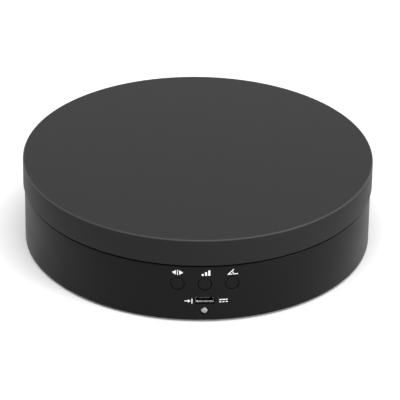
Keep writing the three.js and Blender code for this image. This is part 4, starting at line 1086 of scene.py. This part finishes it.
def make_rollers():
    """Four rollers with dished sides, each on its own pin."""
    half, bore_r, hub_r, radius = ROLLER_W / 2, 1.1, 2, 3.4
    dish = half - 0.35
    side = [
        (bore_r, half), (hub_r, half, 0.1), (hub_r + 0.2, dish, 0.1), (radius - 0.9, dish, 0.1),
        (radius - 0.7, half, 0.1), (radius, half, 0.4),
    ]
    other_side = [(r, -z, *fillet) for r, z, *fillet in side]
    pin_r, pin_half = 1, half + 2
    for i, degrees in enumerate(CORNERS, 1):
        wheel = lathe(other_side + side[::-1], 96, closed=True)
        present(on_track(wheel, degrees), f"roller_tyre_{i}", f"roller_{i}")
        pin = disc(pin_r, -pin_half, pin_half, 0.2, 0.2)
        present(on_track(pin, degrees), f"axle_pin_{i}", f"roller_axle_{i}")


# ---- motor


def make_motor_can():
    """The drawn can, with a rolled groove below its crimped edge."""
    low, high = span("motor_can")
    groove_r, top = MOTOR_R - 0.25, high.z
    can = lathe(
        [
            (0, low.z + 0.3), (5, low.z + 0.3, 0.3), (5.6, low.z, 0.3), (MOTOR_R, low.z, 1.4),
            (MOTOR_R, top - 3.2, 0.1), (groove_r, top - 2.9, 0.1), (groove_r, top - 2.5, 0.1),
            (MOTOR_R, top - 2.2, 0.1), (MOTOR_R, top), (0, top),
        ],
        160,
    )
    notch = (MOTOR_R - 0.4, MOTOR_R + OVER, -1.1, 1.1, top - 1.3, top + OVER)
    notches = ringed(range(20, 360, 90), block, *notch)
    shaft_hole = post(PINION.x - MOTOR.x, PINION.y - MOTOR.y, 3, 20, top + OVER)
    shifted(cut(can, *notches, shaft_hole), MOTOR.x, MOTOR.y)
    present(can, "motor_case", "motor_can", soften=0.08)


def make_motor_flange():
    """The face plate with its two screw ears and the boss around the off-centre shaft."""
    low, high = span("motor_face_plate")
    bottom, top, plate_top = low.z, high.z, high.z - 1.55
    ear_y, ear_half, boss_r = middle("motor_screw_2").y - MOTOR.y, 3.5, 4.5
    shaft_at = PINION.x - MOTOR.x, PINION.y - MOTOR.y
    plate = disc(MOTOR_R, bottom, plate_top, 0.15, 0.2, 160)
    boss = disc(boss_r, bottom, top, 0, 0.3, 72)
    adds = [block(-ear_half, ear_half, -ear_y, ear_y, bottom, plate_top), shifted(boss, *shaft_at)]
    cuts = [post(*shaft_at, 2.65, bottom - OVER, top + OVER)]
    for y in (-ear_y, ear_y):
        adds.append(post(0, y, ear_half, bottom, plate_top))
        cuts.append(post(0, y, 2.1, bottom - OVER, top + OVER))
    shifted(cut(united(plate, *adds), *cuts), MOTOR.x, MOTOR.y)
    present(plate, "motor_flange", "motor_face_plate", soften=0.08)


def make_motor():
    make_motor_can()
    make_motor_flange()

    low, high = span("motor_shaft")
    radius, round_h = 2.5, 6
    round_part = disc(radius, low.z, low.z + round_h, 0.3, 0, 72)
    shaft = united(round_part, prism(flatted_round(radius, 1.5), low.z + round_h - 0.4, high.z))
    present(shifted(shaft, PINION.x, PINION.y), "motor_output_shaft", "motor_shaft", soften=0.12)

    low, high = span("motor_wire_block")
    cap = prism(rectangle(low.x - 3, high.x, low.y, high.y, 1), low.z, high.z)
    slots = []
    for i in range(5):
        y = MOTOR.y - 5 + 2.5 * i
        slots.append(block(high.x - 0.5, high.x + OVER, y, y + 0.6, low.z + 1, high.z - 1))
    cut(cap, post(MOTOR.x, MOTOR.y, MOTOR_R + 0.2, 0, 30, 160), *slots)
    present(cap, "wire_block_cap", "motor_wire_block", soften=0.15)


# ---- circuit board


def make_switch(use, x):
    """A push switch: moulded base, sheet-metal top held by four rivets, and a plunger."""
    node = f"{use}_switch_body"
    front, back = span(node)[0].y, span(node)[1].y
    half, lid_half, hole_r, lid = 3, 2.9, 1.8, 0.28
    base = prism(rectangle(-half, half, -half, half, 0.4), 0, back - front - 0.3)
    base = cut(facing_front(base, x, back, BUTTON_Z), rod_y(x, BUTTON_Z, hole_r, front - OVER, front + 1.8))
    present(base, f"{use}_switch_base", node, soften=0.08)
    sheet = prism(rectangle(-lid_half, lid_half, -lid_half, lid_half, 0.4), 0, lid)
    sheet = facing_front(cut(sheet, post(0, 0, hole_r, -OVER, OVER)), x, front + 0.3, BUTTON_Z)
    present(sheet, f"{use}_switch_lid", node, "nickel", soften=0.06)
    rivets = []
    for rivet_x in (x - 2.25, x + 2.25):
        for z in (BUTTON_Z - 2.25, BUTTON_Z + 2.25):
            rivets.append(facing_front(disc(0.45, 0, 0.22, 0, 0.15, 24), rivet_x, front + 0.02, z))
    present(joined(rivets), f"{use}_switch_rivets", node, "black_plastic")
    low, high = span(f"{use}_switch_plunger")
    pin = disc(1.6, 0, high.y - low.y, 0, 0.3)
    present(facing_front(pin, x, high.y, BUTTON_Z), f"{use}_switch_pin", f"{use}_switch_plunger")


def solder_joint(x, z, radius=0.7):
    neck, pin = radius * 0.45, radius * 0.3
    joint = lathe([(0, 0), (radius, 0), (neck, 0.35, 0.2), (pin, 0.9, 0.1), (0, 0.95)], 24)
    return facing_back(joint, x, BOARD_HIGH.y, z)


def on_board(name, parts, slot, soften=0.0):
    """Small pieces of one finish that belong to the circuit board."""
    present(joined(parts), name, "circuit_board", slot, soften=soften)


def make_resistors():
    """Eight surface-mount resistors: a black body between two tinned ends."""
    back = BOARD_HIGH.y
    bodies, ends = [], []
    for x, z in ((-11, 11), (-8.5, 11), (-11, 6), (3.5, 6), (6, 6), (15, 11.4), (0, 20.6), (-2, 13)):
        bodies.append(block(x - 0.6, x + 0.6, back + 0.02, back + 0.47, z - 0.4, z + 0.4))
        for end in (x - 0.8, x + 0.8):
            ends.append(block(end - 0.2, end + 0.2, back, back + 0.5, z - 0.42, z + 0.42))
    on_board("resistor_bodies", bodies, "black_plastic", 0.05)
    on_board("resistor_ends", ends, "nickel", 0.05)


def make_capacitor(x=12, z=8):
    """A can with a rolled groove, on a square black plinth."""
    back, radius, half = BOARD_HIGH.y, 2, 2.2
    drum = lathe(
        [
            (0, 0.4), (radius, 0.4), (radius, 1, 0.1), (radius - 0.15, 1.15, 0.1), (radius, 1.3, 0.1),
            (radius, 3.3, 0.3), (0, 3.3),
        ],
        64,
    )
    on_board("capacitor_drum", [facing_back(drum, x, back, z)], "can")
    plinth = prism(rectangle(-half, half, -half, half, 0.5), 0.02, 0.45)
    on_board("capacitor_plinth", [facing_back(plinth, x, back, z)], "black_plastic", 0.06)


def make_board():
    """The board, with a joint at each pin that no part on its back covers."""
    front, back = BOARD_LOW.y, BOARD_HIGH.y
    outline = rectangle(BOARD_LOW.x, BOARD_HIGH.x, BOARD_LOW.z, BOARD_HIGH.z, 1)
    plate = facing_front(prism(outline, 0, back - front), 0, back, 0)
    holes, lands = [], []
    hole_r, land_r = 1.4, 2.1
    for i in (1, 2):
        place = middle(f"board_screw_{i}")
        holes.append(rod_y(place.x, place.z, hole_r, front - OVER, back + OVER))
        land = lathe([(1.45, 0), (land_r, 0), (land_r, 0.04), (1.45, 0.04)], 48, closed=True)
        lands.append(facing_front(land, place.x, front + 0.01, place.z))
    present(cut(plate, *holes), "board_plate", "circuit_board", soften=0.08)

    joints = []
    for x in BUTTON_XS.values():
        for leg_x in (x - 2.6, x + 2.6):
            if 1.4 < leg_x < 18 or -14.5 < leg_x < -3.5:
                continue
            joints += [solder_joint(leg_x, BUTTON_Z + dz, 0.6) for dz in (-2.25, 2.25)]
    joints += [solder_joint(x, LED_Z) for x in (-1.27, 1.27)]
    joints += [solder_joint(x, USB_Z, 0.8) for x in (-3.4, 3.4)]
    on_board("solder_joints", joints + lands, "nickel")
    make_resistors()
    make_capacitor()


def make_chip():
    """The controller: a moulded body with a dot at its first pin, and two rows of bent legs."""
    low, high = span("controller_chip")
    body = block(low.x, high.x, low.y + 0.1, high.y, low.z + 0.7, high.z - 0.7)
    dot = rod_y(low.x + 1, low.z + 1.4, 0.3, high.y - 0.08, high.y + OVER, 24)
    present(cut(body, dot), "chip_body", "controller_chip", soften=0.1)
    legs = []
    pitch, shoulder_y, foot_y = 1.27, high.y - 0.8, BOARD_HIGH.y
    for i in range(8):
        x = low.x + 0.55 + pitch * i
        for side, edge in ((-1, low.z), (1, high.z)):
            path = [(x, shoulder_y, edge - side * 0.9), (x, shoulder_y, edge - side * 0.45),
                    (x, foot_y + 0.14, edge - side * 0.3), (x, foot_y + 0.12, edge + side * 0.1)]
            legs.append(wire(path, 0.13, 6, 3))
    present(joined(legs), "chip_legs", "controller_chip", "nickel")


def make_connector():
    """The motor's five-pin connector, open to the back, with two keyways in its lower wall."""
    low, high = span("motor_connector")
    wall, key = 0.8, 1.2
    shell = block(low.x, high.x, low.y, high.y, low.z, high.z)
    well = block(low.x + wall, high.x - wall, low.y + 1.6, high.y + OVER, low.z + wall, high.z - wall)
    keys = []
    for x in (low.x + 3, low.x + 9.8):
        keys.append(block(x, x + key, low.y + 3, high.y + OVER, low.z - OVER, low.z + key))
    present(cut(shell, well, *keys), "connector_shell", "motor_connector", soften=0.12)
    pins = []
    for i in range(5):
        x = low.x + 2 + 2.5 * i
        pins.append(rod_y(x, middle("motor_connector").z, 0.32, low.y + 1, high.y - 1.2, 16))
    present(joined(pins), "connector_pins", "motor_connector", "nickel")


# ---- cell, contacts and leads


def along_x(made, x):
    return shifted(turned(made, 90, "Y"), x, BAY_Y, CELL_Z)


def make_cell():
    """The cell: a can with a raised cap, in a shrunk sleeve that dips into the can's groove."""
    low, high = span("battery_cell")
    start, end = low.x, high.x - 1
    length, radius = end - start, CELL_Z - low.z
    inside_r, top = radius - 0.5, length - 0.15
    wrap = lathe(
        [
            (radius - 1.6, -0.02), (radius, 0, 0.9), (radius, length - 3.2, 0.5),
            (radius - 0.35, length - 2.7, 0.4), (radius, length - 2.2, 0.5), (radius, length, 0.9),
            (radius - 2.2, length + 0.02), (radius - 2.2, top), (inside_r, top), (inside_r, 0.15),
            (radius - 1.6, 0.15),
        ],
        128,
        closed=True,
    )
    present(along_x(wrap, start), "cell_sleeve", "battery_cell")
    can_r, can_low, can_top, cap_top = radius - 0.55, 0.12, length - 0.2, length + 1
    can = lathe(
        [
            (0, can_low), (can_r, can_low, 0.4), (can_r, can_top, 0.4), (3.2, can_top), (3, cap_top, 0.3),
            (0, cap_top),
        ],
        128,
    )
    present(along_x(can, start), "cell_can", "battery_cell", "nickel")


def make_contacts():
    """The coil that presses on the cell, and a leaf at each end of the bay."""
    coil = []
    turns, widest, narrowing = 3.25, 4.3, 1.7
    back, reach = span("battery_cell")[0].x - 3.75, 3.35
    for t in evenly(0, 1, 79):
        a = 2 * math.pi * turns * t
        r = widest - narrowing * t
        coil.append((back + reach * t, BAY_Y + r * math.cos(a), CELL_Z + r * math.sin(a)))
    present(wire(coil, 0.32, 12, 3), "spring_coil", "battery_spring")
    for side in ("negative", "positive"):
        node = f"battery_contact_{side}"
        low, high = span(node)
        leaf = prism(rectangle(low.z, high.z, low.y, high.y, 1), low.x, high.x)
        upright = moved(leaf, Matrix(((0, 0, 1, 0), (0, 1, 0, 0), (1, 0, 0, 0), (0, 0, 0, 1))))
        if side == "positive":
            dimple = lathe([(0, 0), (2.6, 0), (2, 0.2, 0.1), (0, 0.2)], 48)
            united(upright, shifted(turned(dimple, -90, "Y"), low.x + 0.02, BAY_Y, CELL_Z))
        present(upright, f"contact_leaf_{side}", node, soften=0.08)


def make_leads():
    """The battery's two leads and the motor's five, on the routes that the CAD leads take."""
    back, edge = BOARD_HIGH.y, MOTOR.x + MOTOR_R
    negative = [
        (-36, 30.6, 18), (-38, 30.6, 18), (-41, 30.2, 17), (-45, 26, 12), (-50, 17, 9),
        (-51, -6, 7), (-40, -34, 8), (-27, -50, 9), (-13, -57, 8), (-8, back + 0.5, 8),
    ]
    positive = [
        (36, 30.6, 18), (38, 30.6, 18), (41, 30.2, 17), (45, 26, 12), (50, 15, 8),
        (52, -8, 6.5), (43, -36, 7.5), (26, -52, 8), (10, -57, 6.5), (-3, back + 0.7, 8),
    ]
    motor = [
        (edge + 3.2, MOTOR.y, 12), (edge + 4.8, MOTOR.y, 12), (edge + 8, MOTOR.y - 4, 12.4),
        (42, -36, 14), (31, -46, 15.5), (18, -48.5, 16), (11.5, -49.5, 16), (10, -52, 16), (10, -55, 16),
    ]
    lead_r, core_r, core_step = 0.65, 0.24, 0.48
    present(wire(negative, lead_r, 12, 8), "lead_black", "battery_lead_negative")
    present(wire(positive, lead_r, 12, 8), "lead_red", "battery_lead_positive")
    cores = []
    for i in range(5):
        offset = core_step * (i - 2)
        cores.append(wire([(x, y, z + offset) for x, y, z in motor], core_r, 10, 8))
    present(joined(cores), "lead_five_core", "motor_lead")


# ---- camera, floor and light

CAMERA_DISTANCE = 1258
CAMERA_LENS, SENSOR_WIDTH = 269.3, 36
AZIMUTH = -2.8
ELEVATION = 28.8
ROLL = 0.79
AIM_RIGHT = 1.08  # the object stands a little left of the picture's middle, and above it
AIM_DOWN = 2.48
FLOOR_R = 2200


def make_camera():
    data = bpy.data.cameras.new("camera")
    camera = linked(data)
    bpy.context.scene.camera = camera
    data.lens = CAMERA_LENS
    data.sensor_width = SENSOR_WIDTH
    data.clip_start, data.clip_end = 0.05, 20
    azimuth, elevation = math.radians(AZIMUTH), math.radians(ELEVATION)
    level = math.cos(elevation)
    back = Vector((math.sin(azimuth) * level, -math.cos(azimuth) * level, math.sin(elevation)))
    centre = Vector((0, 0, TOP_Z / 2))
    facing = (-back).to_track_quat("-Z", "Y") @ Quaternion((0, 0, 1), math.radians(ROLL))
    right, up = facing @ Vector((1, 0, 0)), facing @ Vector((0, 1, 0))
    aim = centre + right * AIM_RIGHT - up * AIM_DOWN
    camera.rotation_mode = "QUATERNION"
    camera.rotation_quaternion = facing
    camera.location = (aim + back * CAMERA_DISTANCE) * MM


def make_floor():
    """A plain pale floor, clear when seen from below so that the underside shows."""
    floor = post(0, 0, FLOOR_R, -1, 0, 96)
    bm = bmesh.new()
    bm.from_mesh(floor.data)
    below = [face for face in bm.faces if face.normal.z < 0.5]
    bmesh.ops.delete(bm, geom=below, context="FACES")
    bm.to_mesh(floor.data)
    bm.free()
    floor.name = "floor"
    floor.data.transform(Matrix.Scale(MM, 4))
    paper = Look("pale_floor", Roughness=0.9, Specular_IOR_Level=0.1)
    paper.colour(paper.mix(paper.noise(60, 2), (0.93, 0.93, 0.93), (0.96, 0.96, 0.96)))
    both = paper.add("ShaderNodeMixShader")
    paper.put(both.node, 0, paper.add("ShaderNodeNewGeometry", out="Backfacing"))
    paper.put(both.node, 1, paper.shader.outputs[0])
    paper.put(both.node, 2, paper.add("ShaderNodeBsdfTransparent"))
    paper.put(paper.tree.nodes["Material Output"], "Surface", both)
    floor.data.materials.append(paper.material)


def softbox(name, place, width, height, power):
    """A large soft light that faces the object."""
    data = bpy.data.lights.new(name, "AREA")
    data.shape = "RECTANGLE"
    data.size, data.size_y = width, height
    data.energy = power
    light = linked(data)
    light.location = place
    light.rotation_mode = "QUATERNION"
    light.rotation_quaternion = (-Vector(place)).to_track_quat("-Z", "Y")
    return light


def light_from_below(names):
    """A softbox under the floor that lights only the named pieces, and that only they shade."""
    lit = bpy.data.collections.new("seen_from_below")
    for name in names:
        lit.objects.link(bpy.data.objects[name])
    light = softbox("below", (-0.3, -0.4, -1), 1.2, 1.2, 60)
    light.light_linking.receiver_collection = lit
    light.light_linking.blocker_collection = lit


def make_light():
    """A bright surround that dims overhead, and softboxes above, at both sides and low on the right."""
    dims_from, dims_to, overhead = 0.58, 0.85, 0.35
    world = bpy.data.worlds.new("studio")
    bpy.context.scene.world = world
    world.use_nodes = True
    nodes, links = world.node_tree.nodes, world.node_tree.links
    place = nodes.new("ShaderNodeTexCoord").outputs["Generated"]
    axes = nodes.new("ShaderNodeSeparateXYZ")
    links.new(place, axes.inputs[0])
    fade = nodes.new("ShaderNodeMapRange")
    links.new(axes.outputs["Z"], fade.inputs["Value"])
    ends = {"From Min": dims_from, "From Max": dims_to, "To Min": 1.0, "To Max": overhead}
    for key, value in ends.items():
        fade.inputs[key].default_value = value
    links.new(fade.outputs[0], nodes["Background"].inputs["Strength"])
    nodes["Background"].inputs["Color"].default_value = (1, 1, 1, 1)
    softbox("overhead", (0.05, -0.3, 1.3), 1.1, 0.8, 13)
    softbox("right", (1.2, 0.2, 0.9), 0.8, 0.8, 0.8)
    softbox("left", (-1.2, 0.2, 0.9), 0.8, 0.8, 1.5)
    softbox("low_right", (1.05, -0.8, 0.3), 0.4, 0.4, 9)
    bpy.context.scene.view_settings.view_transform = "Standard"


UNDERSIDE = ["cover_plate", "door_leaf", "cell_sleeve", "cell_can", "spring_coil"]
UNDERSIDE += ["contact_leaf_negative", "contact_leaf_positive"]
UNDERSIDE += [f"{piece}_{i}" for piece in ("foot_pad", "cover_screw_thread") for i in (1, 2, 3, 4)]

# ---- all of it

make_camera()
make_floor()
make_light()
make_platter()
make_housing()
for use, x in BUTTON_XS.items():
    make_button(use, x)
    make_switch(use, x)
make_marks()
make_socket()
make_status_light()
make_screws()
make_cover()
make_feet()
make_door()
make_gears()
make_spindle()
make_bearing()
make_rollers()
make_motor()
make_board()
make_chip()
make_connector()
make_cell()
make_contacts()
make_leads()
light_from_below(UNDERSIDE)
